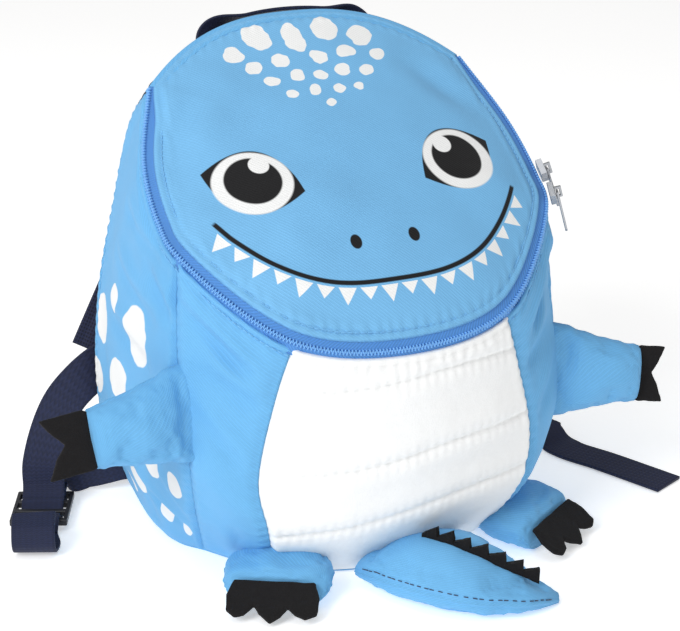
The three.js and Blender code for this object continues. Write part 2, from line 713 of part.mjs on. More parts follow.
function webbing(where, freeEnd) {
  const side = Math.sign(where.x);
  const frame = buckleFrame(where);
  const end = strapPoint(STRAP_ROWS.at(-1));
  end.x *= side;
  const start = end.clone().add(V(side, -STRAP_THICK / 2 - WEBBING - 4 * GAP, STRAP_WIDTH * 0.1));
  const arc = start.clone().lerp(inBuckle(frame, barAt(1), OVER), 0.45).add(V(side * where.bulge, 4, 10));
  const points = [
    start, arc,
    inBuckle(frame, slotAt(0) - 3, OVER + 20), inBuckle(frame, slotAt(0) + 1, OVER + 6),
    ...crossing(frame, 1, OVER).slice(1), inBuckle(frame, slotAt(1), MIDDLE),
    ...crossing(frame, 2, UNDER), inBuckle(frame, slotAt(2), MIDDLE), ...crossing(frame, 3, OVER),
    inBuckle(frame, BUCKLE_LENGTH + 4, MIDDLE + 1), inBuckle(frame, BUCKLE_LENGTH + 9, UNDER + 0.4),
    ...freeEnd.map(([x, y, z]) => V(x * HALF_WIDTH, y * BACK_Y, UNDER + z * LOOP_TALL)),
  ];
  const ways = points.map((_, i) => (i < 1 ? V(1, -0.3 * side, 0.2) : frame.w.clone()));
  return cut(ribbon(points, ways, WEBBING_WIDTH, WEBBING, 72), keepOut);
}

// Zip hardware: slider body with a bridge, and a pull whose top bar lies under the bridge
const BRIDGE_WIRE = 1.5;
const BRIDGE_REACH = 3.4;
const PULL_BAR = 1.4;

function sliderFrame(u) {
  const { p, out, along, cross } = rimFrame(u);
  const up = V(0, 0, 1).addScaledVector(out, -out.z).normalize();
  return { p, out, along, cross, up, level: up.clone().cross(out) };
}

const sliderTop = 0.7 * COIL_HEIGHT + GAP + SLIDER_TALL;
const pullAxisHeight = sliderTop + PULL_BAR / 2 + 0.5;

function slider(u) {
  const { p, out, along, cross, level, up } = sliderFrame(u);
  const at = (height, lift = 0) => p.clone().addScaledVector(out, height).addScaledVector(up, lift);
  const body = block(at(sliderTop - SLIDER_TALL / 2), along, cross, along.clone().cross(cross),
    [SLIDER_LENGTH, SLIDER_WIDTH, SLIDER_TALL]);
  const crownHeight = pullAxisHeight + PULL_BAR / 2 + 0.5 + BRIDGE_WIRE / 2;
  const legTall = crownHeight + BRIDGE_WIRE / 2 - sliderTop + 1;
  const legSize = [BRIDGE_WIRE, BRIDGE_WIRE, legTall];
  const leg = (lift) => block(at(sliderTop - 1 + legTall / 2, lift), level, up, out, legSize);
  const crownBar = block(at(crownHeight), level, up, out, [BRIDGE_WIRE, 2 * BRIDGE_REACH, BRIDGE_WIRE]);
  return joined(body, leg(BRIDGE_REACH - BRIDGE_WIRE / 2), leg(BRIDGE_WIRE / 2 - BRIDGE_REACH), crownBar);
}

// The pull is drawn about its hinge: x along the axis, y up and z outward
function pull() {
  const w = PULL_WIDTH / 2;
  const end = PULL_BAR / 2 - PULL_LENGTH;
  const outline = [[-w, PULL_BAR / 2], [-0.75 * w, end + 1.5], [-0.4 * w, end], [0.4 * w, end], [0.75 * w, end + 1.5],
    [w, PULL_BAR / 2]];
  const shape = new THREE.Shape(outline.map(([x, y]) => new THREE.Vector2(x, y)));
  const hole = w - 1.1;
  const [top, low] = [-PULL_BAR / 2, -PULL_BAR / 2 - BRIDGE_REACH - 2.6];
  const inner = [[-hole, top], [hole, top], [hole * 0.9, low], [-hole * 0.9, low]];
  shape.holes.push(new THREE.Path(inner.map(([x, y]) => new THREE.Vector2(x, y))));
  const geometry = new THREE.ExtrudeGeometry(shape, { depth: PULL_THICK, bevelEnabled: false });
  geometry.translate(0, 0, -PULL_THICK / 2);
  return geometry;
}

function hang(mesh, u) {
  const { p, out, level, up } = sliderFrame(u);
  mesh.position.copy(p).addScaledVector(out, pullAxisHeight);
  mesh.quaternion.setFromRotationMatrix(new THREE.Matrix4().makeBasis(level, up, out));
}
const SLIDERS = { upper: 2.93, lower: 3.7 };

const materials = {
  cloth: { color: 0x5fa3dc, roughness: 0.85, metalness: 0 },
  side: { color: 0x66abe2, roughness: 0.85, metalness: 0 },
  fleece: { color: 0xf4f4f2, roughness: 0.95, metalness: 0 },
  tape: { color: 0x3d80c8, roughness: 0.8, metalness: 0 },
  felt: { color: 0x1d1d1f, roughness: 0.95, metalness: 0 },
  navy: { color: 0x1f2a46, roughness: 0.85, metalness: 0 },
  plastic: { color: 0x151517, roughness: 0.45, metalness: 0 },
  metal: { color: 0xc9ccd0, roughness: 0.3, metalness: 1 },
};

const group = new THREE.Group();
function add(name, geometry, kind) {
  const mesh = new THREE.Mesh(geometry, new THREE.MeshStandardMaterial(materials[kind]));
  mesh.name = name;
  group.add(mesh);
  return mesh;
}
const addPair = (name, geometry, kind) => {
  add(`${name}_right`, geometry, kind);
  add(`${name}_left`, mirrored(geometry), kind);
};

// Shell
add('back_panel', wall(-SEAM.corner, SEAM.corner, 14, 14, BACK_PAD), 'navy');
add('base_panel', basePanel(), 'cloth');
addPair('side_panel', wall(SEAM.corner, SEAM.front, 14, 14, CLOTH), 'side');
addPair('front_panel', wall(SEAM.front, SEAM.belly, 6, 14, CLOTH), 'side');
add('belly_panel', wall(SEAM.belly, 2 * SEAM.middle - SEAM.belly, 12, 12, FLEECE), 'fleece');
add('face_panel', facePanel(FACE_GRID.around, FACE_GRID.rings), 'cloth');

// Zip round the lid from back corner to back corner, and the binding between them
const zipEnd = 2 * SEAM.middle - SEAM.corner;
const tapeEdge = COIL_HALF + GAP;
add('zip_tape_body', rimStrip(SEAM.corner, zipEnd, -ZIP_HALF, -tapeEdge, 48, 1), 'tape');
add('zip_tape_lid', rimStrip(SEAM.corner, zipEnd, tapeEdge, ZIP_HALF, 48, 1), 'tape');
add('zip_coil', zipCoil(SEAM.corner + 0.03, zipEnd - 0.03, 48), 'tape');
add('lid_binding', rimStrip(-SEAM.corner, SEAM.corner, -ZIP_HALF, ZIP_HALF, 14, 4), 'tape');
for (const [place, u] of Object.entries(SLIDERS)) {
  add(`zip_slider_${place}`, slider(u), 'metal');
  hang(add(`zip_pull_${place}`, pull(), 'metal'), u);
}

// Limbs
for (const [side, where] of Object.entries(ARMS)) {
  add(`arm_${side}`, arm(where), 'side');
  add(`claw_${side}`, armClaw(where), 'felt');
}
for (const [side, where] of Object.entries(FEET)) {
  add(`foot_${side}`, foot(where), 'side');
  add(`toes_${side}`, toes(where), 'felt');
}
add('tail', tail(), 'cloth');
add('tail_spikes', tailSpikes(), 'felt');

// Straps
addPair('shoulder_strap', shoulderStrap(), 'navy');
add('grab_handle', grabHandle(), 'navy');
for (const [side, where] of Object.entries(BUCKLES)) {
  add(`buckle_${side}`, buckle(where), 'plastic');
  add(`anchor_${side}`, anchorTab(where), 'navy');
  add(`webbing_${side}`, webbing(where, FREE_ENDS[side]), 'navy');
}

export default group;
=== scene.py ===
"""Looks of a small child's backpack in the shape of a blue dinosaur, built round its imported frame."""

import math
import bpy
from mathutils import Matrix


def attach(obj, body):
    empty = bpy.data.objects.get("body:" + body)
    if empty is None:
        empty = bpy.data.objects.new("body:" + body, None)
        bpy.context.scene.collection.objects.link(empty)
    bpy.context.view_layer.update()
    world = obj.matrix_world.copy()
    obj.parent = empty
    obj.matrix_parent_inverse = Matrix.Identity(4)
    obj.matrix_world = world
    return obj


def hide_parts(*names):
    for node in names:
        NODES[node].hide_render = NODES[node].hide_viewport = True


bl_info = {
    "name": "Kids Animal Backpack",
    "version": (1, 0, 0),
    "blender": (4, 5, 0),
    "location": "3D View > Sidebar > Backpack",
    "description": "Builds a plush dinosaur backpack with zipped lid, stuffed limbs and straps",
    "category": "Object",
}

import bmesh
import bpy
import numpy as np
from mathutils import Matrix, Vector, kdtree, noise

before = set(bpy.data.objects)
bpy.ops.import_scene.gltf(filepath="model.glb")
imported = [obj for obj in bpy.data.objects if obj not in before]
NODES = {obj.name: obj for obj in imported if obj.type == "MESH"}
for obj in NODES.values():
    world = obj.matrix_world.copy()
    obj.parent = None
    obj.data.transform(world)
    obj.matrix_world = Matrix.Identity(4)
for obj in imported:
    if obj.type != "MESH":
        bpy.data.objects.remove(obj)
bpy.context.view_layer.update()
MM = 0.001
BAG = "bag"

# Body, in millimetres
HALF_WIDTH, BACK_Y, BELLY_Y, HEIGHT = 127, 74, -112, 290
CLOTH, FLEECE, BACK_PAD, GAP = 2, 3, 5, 0.3
WEBBING, WEBBING_WIDTH = 2, 25
ZIP_HALF, COIL_HALF, COIL_HEIGHT, TAPE = 7.6, 1.7, 2.6, 1.2
LID_RISE_CHIN, LID_RISE_BROW = 21, 9
CORNER, FRONT, BELLY, MIDDLE = 1, 4, 5, 6
FAR_BELLY, FAR_CORNER = 2 * MIDDLE - BELLY, 2 * MIDDLE - CORNER
FLOOR = 0.1
SIDES = ((1, "right"), (-1, "left"))

# Sewn columns from the back's middle to the belly's middle: shares of width, depth and height
COLUMNS = (
    ("back middle", (0,) * 6, (1, 1, 1, 1, 1, 0.98), (0, 0.2, 0.42, 0.7, 0.955, 1)),
    ("back corner", (0.86, 0.99, 0.98, 0.88, 0.79, 0.75), (1, 1, 1, 1, 0.96, 0.6),
     (0, 0.2, 0.42, 0.65, 0.82, 0.9)),
    ("side", (0.88, 1, 0.99, 0.95, 0.875), (0.34, 0.34, 0.3, 0.2, 0.07), (0, 0.23, 0.45, 0.64, 0.785)),
    ("side front", (0.83, 0.95, 0.96, 0.94, 0.895), (-0.09, -0.14, -0.2, -0.23, -0.25),
     (0, 0.24, 0.42, 0.57, 0.705)),
    ("front seam", (0.739, 0.843, 0.89, 0.893, 0.87), (-0.224, -0.458, -0.562, -0.448, -0.421),
     (0, 0.157, 0.292, 0.464, 0.667)),
    ("belly edge", (0.5, 0.61, 0.65, 0.57, 0.49), (-0.55, -0.82, -0.83, -0.84, -0.866),
     (0, 0.15, 0.25, 0.42, 0.532)),
    ("belly middle", (0,) * 5, (-0.73, -0.96, -1, -0.99, -0.973), (0, 0.17, 0.31, 0.42, 0.503)),
)


def unit(v):
    return v / np.maximum(np.linalg.norm(v, axis=-1, keepdims=True), 1e-12)


def eased(t):
    return t * t * (3 - 2 * t)


def signed_power(v, power):
    return np.sign(v) * np.abs(v) ** power


def turning(degrees):
    """Cosine and sine of an angle."""
    return math.cos(math.radians(degrees)), math.sin(math.radians(degrees))


def ring(share):
    """Cosines and sines of shares of a turn."""
    return np.cos(2 * math.pi * share), np.sin(2 * math.pi * share)


def spline(points, s):
    """Points on centripetal curves, one curve for each place; s counts control points."""
    count = points.shape[1]
    i = np.clip(np.floor(s).astype(int), 0, count - 2)
    w = (s - i)[:, None]
    rows = np.arange(len(s))
    p1, p2 = points[rows, i], points[rows, i + 1]
    before, after = 2 * points[:, 0] - points[:, 1], 2 * points[:, -1] - points[:, -2]
    p0 = np.where((i > 0)[:, None], points[rows, np.maximum(i - 1, 0)], before)
    p3 = np.where((i + 2 < count)[:, None], points[rows, np.minimum(i + 2, count - 1)], after)
    pairs = (p0, p1), (p1, p2), (p2, p3)
    d0, d1, d2 = (np.linalg.norm(b - a, axis=1, keepdims=True) ** 0.5 for a, b in pairs)
    d1 = np.where(d1 < 1e-2, 1, d1)
    d0, d2 = np.where(d0 < 1e-2, d1, d0), np.where(d2 < 1e-2, d1, d2)
    t1 = d1 * ((p1 - p0) / d0 - (p2 - p0) / (d0 + d1) + (p2 - p1) / d1)
    t2 = d1 * ((p2 - p1) / d1 - (p3 - p1) / (d1 + d2) + (p3 - p2) / d2)
    return p1 + w * (t1 + w * (3 * (p2 - p1) - 2 * t1 - t2 + w * (2 * (p1 - p2) + t1 + t2)))


def through(points, t):
    """Places at the shares t of one curve through points."""
    points = np.asarray(points, float)
    t = np.atleast_1d(np.asarray(t, float))
    return spline(np.broadcast_to(points, (len(t), *points.shape)), t * (len(points) - 1))


class Column:
    """One sewn column, walked by shares of its own length."""

    def __init__(self, x, y, z):
        depth = [s * BACK_Y if s > 0 else -s * BELLY_Y for s in y]
        self.points = np.array([x, depth, z], float).T * (HALF_WIDTH, 1, HEIGHT)
        self.places = np.linspace(0, 1, 201)
        steps = np.linalg.norm(np.diff(through(self.points, self.places), axis=0), axis=1)
        self.lengths = np.concatenate([[0], np.cumsum(steps)])
        self.length = self.lengths[-1]

    def at(self, v):
        return through(self.points, np.interp(np.clip(v, 0, 1) * self.length, self.lengths, self.places))


columns = [Column(*c[1:]) for c in COLUMNS]


def turned(u):
    """A count of columns brought between those of the belly's middle, -6 and 6."""
    return (np.asarray(u, float) + MIDDLE) % (2 * MIDDLE) - MIDDLE


def shell(u, v):
    """Points of the body: u counts columns from the back's middle, v is the share up a column."""
    u, v = np.broadcast_arrays(np.atleast_1d(np.asarray(u, float)), np.atleast_1d(np.asarray(v, float)))
    u = turned(u)
    side, a = np.where(u < 0, -1.0, 1.0), np.abs(u)
    level = np.stack([c.at(v) for c in columns[1:]], 1)
    level = np.concatenate([level, level[:, -2::-1] * (-1, 1, 1)], 1)
    wrap = spline(level, np.clip(a - CORNER, 0, 10))
    middle, corner = columns[0].at(v), level[:, 0]
    back = middle + (corner - middle) * (np.minimum(a, 1) ** 2.5)[:, None]
    back[:, 0] = np.minimum(a, 1) * corner[:, 0]
    p = np.where((a >= CORNER)[:, None], wrap, back)
    p[:, 0] *= side
    return p


def column_length(u):
    return np.interp(np.abs(turned(u)), range(7), [c.length for c in columns])


CHIN, BROW = shell(MIDDLE, 1)[0], shell(0, 1)[0]
CROWN = (CHIN + BROW) / 2
LID_ALONG = unit(BROW - CHIN)
LID_UP = unit(np.cross((1, 0, 0), LID_ALONG))
LID_LENGTH = np.linalg.norm(BROW - CHIN)
INSIDE = np.array((0, 0, HEIGHT * 0.42))
UP = np.array((0, 0, 1.0))
RIM_STEP = 0.02


def lid(u, r):
    """Points of the dome: r is 1 on the rim and 0 at the crown."""
    edge = shell(u, 1)
    r = np.broadcast_to(np.asarray(r, float), (len(edge),))[:, None]
    lift = ((edge - CHIN) @ LID_UP)[:, None]
    p = CROWN + (edge - lift * LID_UP - CROWN) * r
    t = np.clip(((p - CHIN) @ LID_ALONG / LID_LENGTH - 0.05) / 0.9, 0, 1)
    rise = LID_RISE_CHIN + (LID_RISE_BROW - LID_RISE_CHIN) * eased(t)[:, None]
    return p + LID_UP * (lift * r**2 + rise * (1 - r**3))


def rim(u, s):
    """Points by the lid's edge: s runs down the wall below 0 and up the lid above it, in millimetres."""
    u, s = np.broadcast_arrays(np.atleast_1d(np.asarray(u, float)), np.asarray(s, float))
    reach = np.linalg.norm(shell(u, 1) - CROWN, axis=1)
    down = shell(u, 1 + np.minimum(s, 0) / column_length(u))
    up = lid(u, 1 - np.maximum(s, 0) / reach)
    return np.where((s <= 0)[:, None], down, up)


def outward(ways, points):
    """Ways turned away from the middle of the bag."""
    return np.where((np.sum(ways * (points - INSIDE), axis=1) < 0)[:, None], -ways, ways)


def facing(f, a, b, da, db):
    """Outward ways of a surface."""
    n = unit(np.cross(f(a + da, b) - f(a - da, b), f(a, b + db) - f(a, b - db)))
    return outward(n, f(a, b))


def rim_ways(u, s):
    """Outward ways by the lid's edge."""
    return facing(rim, u, np.clip(s, -ZIP_HALF, ZIP_HALF), RIM_STEP, 0.5)


def bell(d, width):
    return np.exp(-((d / width) ** 2))


def ripple(points, scale, seed=0):
    """Smooth seeded noise of points, from about -1 to 1."""
    shift = Vector((seed * 3.1, seed * 1.7, seed * 5.3))
    return np.array([noise.noise(Vector(p) / scale + shift) for p in points])


FOLD_DEPTH = 1.5


def folds(points, table):
    """Creases in cloth, each between two places: a valley with a soft ridge beside it."""
    relief = np.zeros(len(points))
    for start, end, width, depth in table:
        a, b = np.array(start, float), np.array(end, float)
        t = np.clip((points - a) @ (b - a) / np.dot(b - a, b - a), 0, 1)
        off = points - (a + t[:, None] * (b - a))
        d = np.linalg.norm(off, axis=1)
        above = 0.5 + 0.5 * np.tanh(off[:, 2] / width)
        fade = np.sin(np.pi * np.clip(0.12 + 0.8 * t, 0, 1))
        relief += FOLD_DEPTH * fade * depth * (0.7 * bell(d - 1.9 * width, width) * above - bell(d, width))
    return relief


# Meshes


def added(name, data):
    """A new object in the scene."""
    made = bpy.data.objects.new(name, data)
    bpy.context.scene.collection.objects.link(made)
    return made


def mesh_of(name, bm):
    """The mesh that a bmesh makes."""
    mesh = bpy.data.meshes.new(name)
    bm.to_mesh(mesh)
    bm.free()
    return mesh


def dressed(name, mesh, node, material, body=BAG, smooth=True):
    """Makes a mesh a piece of a body; it stands for a node, if one is named."""
    piece = added(name, mesh)
    mesh.materials.clear()
    mesh.materials.append(material)
    mesh.polygons.foreach_set("use_smooth", np.full(len(mesh.polygons), smooth))
    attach(piece, body)
    if node:
        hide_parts(node)
    return piece


def grid(across, up):
    """A grid mesh and the two shares of each of its points."""
    bm = bmesh.new()
    bmesh.ops.create_grid(bm, x_segments=across, y_segments=up, size=1)
    mesh = mesh_of("grid", bm)
    co = points_of(mesh)
    low, high = co.min(0), co.max(0)
    return mesh, (co[:, 0] - low[0]) / (high[0] - low[0]), (co[:, 1] - low[1]) / (high[1] - low[1])


def points_of(mesh, kind="co"):
    """The places of a mesh's points, or their normals."""
    values = np.empty(len(mesh.vertices) * 3)
    mesh.vertices.foreach_get(kind, values)
    return values.reshape(-1, 3)


def put(mesh, points):
    mesh.vertices.foreach_set("co", (np.asarray(points) * MM).ravel())
    mesh.update()


def add_map(mesh, name, values):
    """A UV map from one pair of numbers for each point."""
    layer = mesh.uv_layers.new(name=name)
    corner = np.empty(len(mesh.loops), int)
    mesh.loops.foreach_get("vertex_index", corner)
    layer.data.foreach_set("uv", np.asarray(values, np.float32)[corner].ravel())


def cloth_piece(name, size, place, thick, material, maps=()):
    """A sewn sheet: place gives points, outward ways and cloth millimetres for two shares."""
    mesh, a, b = grid(*size)
    points, outward, weave = place(a, b)
    put(mesh, points)
    if np.sum(points_of(mesh, "normal") * outward) < 0:
        mesh.flip_normals()
    add_map(mesh, "weave", weave)
    for label, function in maps:
        add_map(mesh, label, function(points))
    piece = dressed(name + "_cloth", mesh, name, material)
    wall = piece.modifiers.new("Wall", "SOLIDIFY")
    wall.thickness = thick * MM
    wall.offset = -1
    return piece


def tube_piece(name, size, place, material):
    """A closed tube with ends: place gives points for the shares round it and along it."""
    mesh, a, b = grid(*size)
    points, weave = place(a, b)
    put(mesh, points)
    add_map(mesh, "weave", weave)
    bm = bmesh.new()
    bm.from_mesh(mesh)
    bpy.data.meshes.remove(mesh)
    bmesh.ops.remove_doubles(bm, verts=bm.verts, dist=2e-5)
    ends = bmesh.ops.holes_fill(bm, edges=[e for e in bm.edges if e.is_boundary], sides=0)["faces"]
    if ends:
        bmesh.ops.poke(bm, faces=ends)
    bmesh.ops.recalc_face_normals(bm, faces=bm.faces)
    piece_name = name + "_soft"
    return dressed(piece_name, mesh_of(piece_name, bm), name, material)


# Shader nodes


def math_node(operation, swapped=False):
    """A method that adds one math node."""

    def method(self, *others):
        inputs = [*others, self] if swapped else [self, *others]
        return self.net.node("ShaderNodeMath", {"operation": operation}, inputs)

    return method


class Wire:
    """A shader socket that takes sums."""

    __add__ = __radd__ = math_node("ADD")
    __mul__ = __rmul__ = math_node("MULTIPLY")
    __sub__ = math_node("SUBTRACT")
    __rsub__ = math_node("SUBTRACT", swapped=True)
    __lt__ = math_node("LESS_THAN")
    __gt__ = math_node("GREATER_THAN")
    low = math_node("MINIMUM")
    sine = math_node("SINE")
    size = math_node("ABSOLUTE")
    fraction = math_node("FRACT")

    def __init__(self, net, socket):
        self.net = net
        self.socket = socket

    def clamped(self):
        return self.net.node("ShaderNodeClamp", {}, [self])


class Net:
    """A material and the one way to add nodes to it."""

    def __init__(self, name, roughness=0.8, metallic=0.0, sheen=0.0, gloss=0.5):
        self.material = bpy.data.materials.new(name)
        self.material.use_nodes = True
        self.tree = self.material.node_tree
        self.shader = self.tree.nodes["Principled BSDF"]
        values = {"Roughness": roughness, "Metallic": metallic, "Sheen Weight": sheen,
                  "Specular IOR Level": gloss}
        for socket, value in values.items():
            self.shader.inputs[socket].default_value = value

    def node(self, kind, settings=None, inputs=(), output=0):
        """Adds a node: settings first, then the values or links of its sockets by place or name."""
        made = self.tree.nodes.new(kind)
        for key, value in (settings or {}).items():
            setattr(made, key, value)
        for key, value in inputs.items() if isinstance(inputs, dict) else enumerate(inputs):
            if isinstance(value, Wire):
                self.tree.links.new(value.socket, made.inputs[key])
            else:
                made.inputs[key].default_value = value
        return Wire(self, made.outputs[output])

    def both(self, map_name):
        """The two coordinates of a UV map."""
        uv = self.node("ShaderNodeUVMap", {"uv_map": map_name})
        x = self.node("ShaderNodeSeparateXYZ", {}, [uv])
        return x, Wire(self, x.socket.node.outputs[1])

    def grain(self, scale, detail):
        """Noise of a feature size in millimetres."""
        here = self.node("ShaderNodeTexCoord", output=3)
        place = self.shade(here, 1 / MM)
        return self.node("ShaderNodeTexNoise", {}, {"Vector": place, "Scale": 1 / scale, "Detail": detail})

    def mix(self, mask, first, second):
        """A colour between two."""
        return self.node("ShaderNodeMix", {"data_type": "RGBA"}, {0: mask, 6: first, 7: second}, 2)

    def shade(self, colour, amount):
        """A colour or place times a factor."""
        return self.node("ShaderNodeVectorMath", {"operation": "SCALE"}, {0: colour, 3: amount})

    def finish(self, colour, height=None, depth=0.0002, strength=1.0, roughness=None):
        """Links the colour, the roughness and the bump and returns the material."""
        links = {"Base Color": colour, "Roughness": roughness}
        if height is not None:
            bump = {"Strength": strength, "Distance": depth, "Height": height}
            links["Normal"] = self.node("ShaderNodeBump", {}, bump)
        for socket, wire in links.items():
            if wire is not None:
                self.tree.links.new(wire.socket, self.shader.inputs[socket])
        return self.material


def rgb(*values):
    """A colour of a photograph as the shader wants it."""
    return tuple(((v / 255 + 0.055) / 1.055) ** 2.4 if v > 10 else v / 255 / 12.92 for v in values)


SKY = rgb(108, 178, 228)
SKY_LIGHT = rgb(118, 182, 228)
WHITE = rgb(240, 241, 241)
INK = rgb(17, 17, 19)
NAVY = rgb(29, 35, 62)
ZIP_BLUE = rgb(80, 144, 216)
COIL_BLUE = rgb(112, 172, 232)
FELT_BLACK = rgb(29, 28, 29)
METAL = rgb(168, 171, 176)
PLASTIC = rgb(30, 31, 36)
THREAD_BLUE = rgb(40, 52, 84)


WEAVE_PITCH, RIB_PITCH, CELL_PITCH = 1.05, 1.3, 3.4


def threads(x, y, pitch):
    """Height of a plain weave, from 0 to 1."""
    turn = 2 * math.pi / pitch
    return ((x * turn).sine() * (y * turn).sine()) * 0.25 + ((x + y) * (turn / 2)).sine() * 0.25 + 0.5


def patches(x, y, table):
    """Mask of rounded printed patches: centre, half sizes and turn of each."""
    nearest = None
    for cx, cy, rx, ry, degrees in table:
        c, s = turning(degrees)
        dx, dy = x - cx, y - cy
        across = dx * (c / rx) + dy * (s / rx)
        along = dx * (-s / ry) + dy * (c / ry)
        d = across * across + along * along
        nearest = d if nearest is None else nearest.low(d)
    return ((1.05 - nearest) * 12).clamped()


def cloth_base(net, colour):
    """Woven cloth: its colour with painted shade between its threads and slow random variation, its height
    and its millimetres.
    """
    x, y = net.both("weave")
    height = threads(x, y, WEAVE_PITCH)
    # Painted shade: the colour darkens between the threads, where the weave is low; the slow noise is random
    # tone.
    light = 0.84 + height * 0.18 + net.grain(34, 3) * 0.10
    return net.shade(colour, light), height, x, y


def finish_cloth(net, colour_with_weave_shade, height):
    """Woven cloth's bump: its threads and their fuzz."""
    return net.finish(colour_with_weave_shade, height + net.grain(1.1, 1) * 0.3, depth=0.0003, strength=0.7)


def woven(name, colour, spots=()):
    net = Net(name, roughness=0.66, sheen=0.06, gloss=0.3)
    colour_with_weave_shade, height, x, y = cloth_base(net, colour)
    if spots:
        wobble = net.grain(9, 1) * 5 - 2.5
        mask = patches(x + wobble, y + wobble * 0.6, spots)
        # The white print also gets painted shade where the weave is low.
        colour_with_weave_shade = net.mix(mask, colour_with_weave_shade, net.shade(WHITE, 0.94 + height * 0.06))
    return finish_cloth(net, colour_with_weave_shade, height)


# Face print, in millimetres of the flattened face: middle, half sizes and shine (middle and radius)
EYE = {"x": 61.5, "y": 164, "white": (21.5, 20), "black": (15.2, 15), "shine": (55, 174.5, 5.6)}
LASH = {"x": 61, "y": 164.5, "half": 27.5, "tall": 21, "lean": 24}
NOSTRIL = (17, 119.8, 3.2, 4.3)
MOUTH_LOW, MOUTH_CURVE, MOUTH_REACH = 95.5, 2.85, 86
TOOTH, TEETH = 11.4, 18
TOOTH_TALL, TOOTH_MORE, GUM, LIP_HALF = 7.2, 2.6, 2.7, 1.65
CROWN_SPOTS = (
    (-44, 251, 6, 6, 0), (-27, 262, 8, 10, 18), (-6, 258, 6.5, 11, 5), (15, 263, 8, 9, -12),
    (35, 256, 7, 8, -30), (-36, 240, 5, 4.5, 10), (-19, 243, 5.5, 5, 0), (4, 243, 5, 5.5, 20),
    (22, 245, 6, 4.5, 0), (40, 241, 4.5, 4, 0), (-29, 229, 4.6, 3.8, 0), (-13, 231, 4, 4.4, 0),
    (1, 230, 4.6, 3.8, 10), (15, 232, 4.2, 4.4, 0), (29, 230, 4, 3.6, 0), (-20, 219, 3.6, 3, 0),
    (-6, 220, 3.4, 3.6, 0), (8, 219, 3.6, 3, 0), (20, 219, 2.8, 2.8, 0), (0, 210, 2.6, 2.4, 0),
)
# Side print, in millimetres from the middle of a side panel and up from the floor: centre, half sizes, turn
SIDE_SPOTS = (
    (8, 136, 16, 19, 12), (-58, 122, 13, 15, 0), (-20, 98, 14, 13, 10), (-68, 82, 11, 11, 0),
    (20, 60, 14, 12, -8), (-12, 34, 12, 9, 0), (55, 60, 9, 9, 0), (-46, 54, 10, 8, 0),
    (26, 24, 9, 7, 0), (57, 20, 7, 6, 0), (-40, 20, 8, 7, 0), (-70, 42, 7, 7, 0), (4, 82, 6, 6, 0),
    (34, 86, 7, 6, 20), (-30, 146, 8, 9, 0),
)


def face_point(points):
    """The flattened face: across it, and up it as seen from in front and a little above."""
    return np.stack([points[:, 0], 0.57 * points[:, 1] + 0.82 * points[:, 2]], 1)


def mouth_point(points):
    """Places by the smile: along it from its middle, and below it."""
    x = np.linspace(-MOUTH_REACH - 12, MOUTH_REACH + 12, 600)
    line = np.stack([x, MOUTH_LOW + 6.9 * (np.abs(x) / 45) ** MOUTH_CURVE], 1)
    steps = np.concatenate([[0], np.cumsum(np.linalg.norm(np.diff(line, axis=0), axis=1))])
    steps -= steps[-1] / 2
    ways = unit(np.gradient(line, axis=0))
    flat = face_point(points)
    out = np.empty_like(flat)
    for start in range(0, len(flat), 4000):
        part = flat[start:start + 4000]
        off = part[:, None] - line[None]
        i = np.argmin(np.sum(off**2, axis=2), axis=1)
        near = off[np.arange(len(part)), i]
        out[start:start + 4000, 0] = steps[i] + np.sum(near * ways[i], axis=1)
        out[start:start + 4000, 1] = near[:, 0] * ways[i, 1] - near[:, 1] * ways[i, 0]
    return out


def oval(x, y, cx, cy, rx, ry):
    """Square of the distance from an oval's middle: 1 on its edge."""
    dx, dy = (x - cx) * (1 / rx), (y - cy) * (1 / ry)
    return dx * dx + dy * dy


def sharp(d, softness=0.05):
    """A mask that is 1 where d is under 1."""
    return ((1 + softness - d) * (1 / (2 * softness))).clamped()


def face_cloth():
    """Cloth of the lid with its printed spots, eyes, nostrils and toothy smile."""
    net = Net("face_print_cloth", roughness=0.66, sheen=0.05, gloss=0.25)
    colour_with_weave_shade, height, _, _ = cloth_base(net, SKY_LIGHT)
    fx, fy = net.both("face")
    wobble = net.grain(8, 1) * 5 - 2.5
    # Print colours with painted shade where the weave is low.
    white = net.shade(WHITE, 0.95 + height * 0.05)
    ink = net.shade(INK, 0.8 + height * 0.4)
    side = fx.size()
    lean_c, lean_s = turning(LASH["lean"])
    dx, dy = side - LASH["x"], fy - LASH["y"]
    along = (dx * lean_c + dy * lean_s) * (1 / LASH["half"])
    off = (dy * lean_c - dx * lean_s).size()
    x, y = EYE["x"], EYE["y"]
    shine_x, shine_y, shine = EYE["shine"]
    s, d = net.both("mouth")
    reach = s.size()
    step = s * (1 / TOOTH)
    tooth = 1 - (step.fraction() * 2 - 1).size() * 1.17
    tall = ((step * 0.5).fraction() > 0.5) * TOOTH_MORE + TOOTH_TALL
    under = d - GUM
    inside = (reach < TOOTH * TEETH / 2) * (under > 0)
    lip = ((LIP_HALF - d.size()) * 1.6).clamped() * ((TOOTH * TEETH / 2 + 5 - reach) * 0.6).clamped()
    for mask, print_colour in (
            (patches(fx + wobble, fy + wobble * 0.7, CROWN_SPOTS), white),
            (((LASH["tall"] * (1 - along * along) - off) * 1.2).clamped(), ink),
            (sharp(oval(side, fy, x, y, *EYE["white"])), white),
            (sharp(oval(side, fy, x - 0.5, y + 1.2, *EYE["black"]), softness=0.06), ink),
            (sharp(oval(side, fy, shine_x, shine_y, shine, shine), softness=0.1), white),
            (sharp(oval(side, fy, *NOSTRIL), softness=0.15), ink),
            (inside * ((tooth * tall - under) * 2).clamped(), white),
            (lip, ink)):
        colour_with_weave_shade = net.mix(mask, colour_with_weave_shade, print_colour)
    return finish_cloth(net, colour_with_weave_shade, height)


def fleece_cloth():
    net = Net("belly_fleece", roughness=0.95, sheen=0.2)
    tufts = net.grain(2.4, 4)
    fine = net.grain(0.7, 2)
    light = 1.0 + tufts * 0.05 + fine * 0.03
    return net.finish(net.shade(WHITE, light), tufts * 0.7 + fine * 0.5, depth=0.0005, strength=0.4)


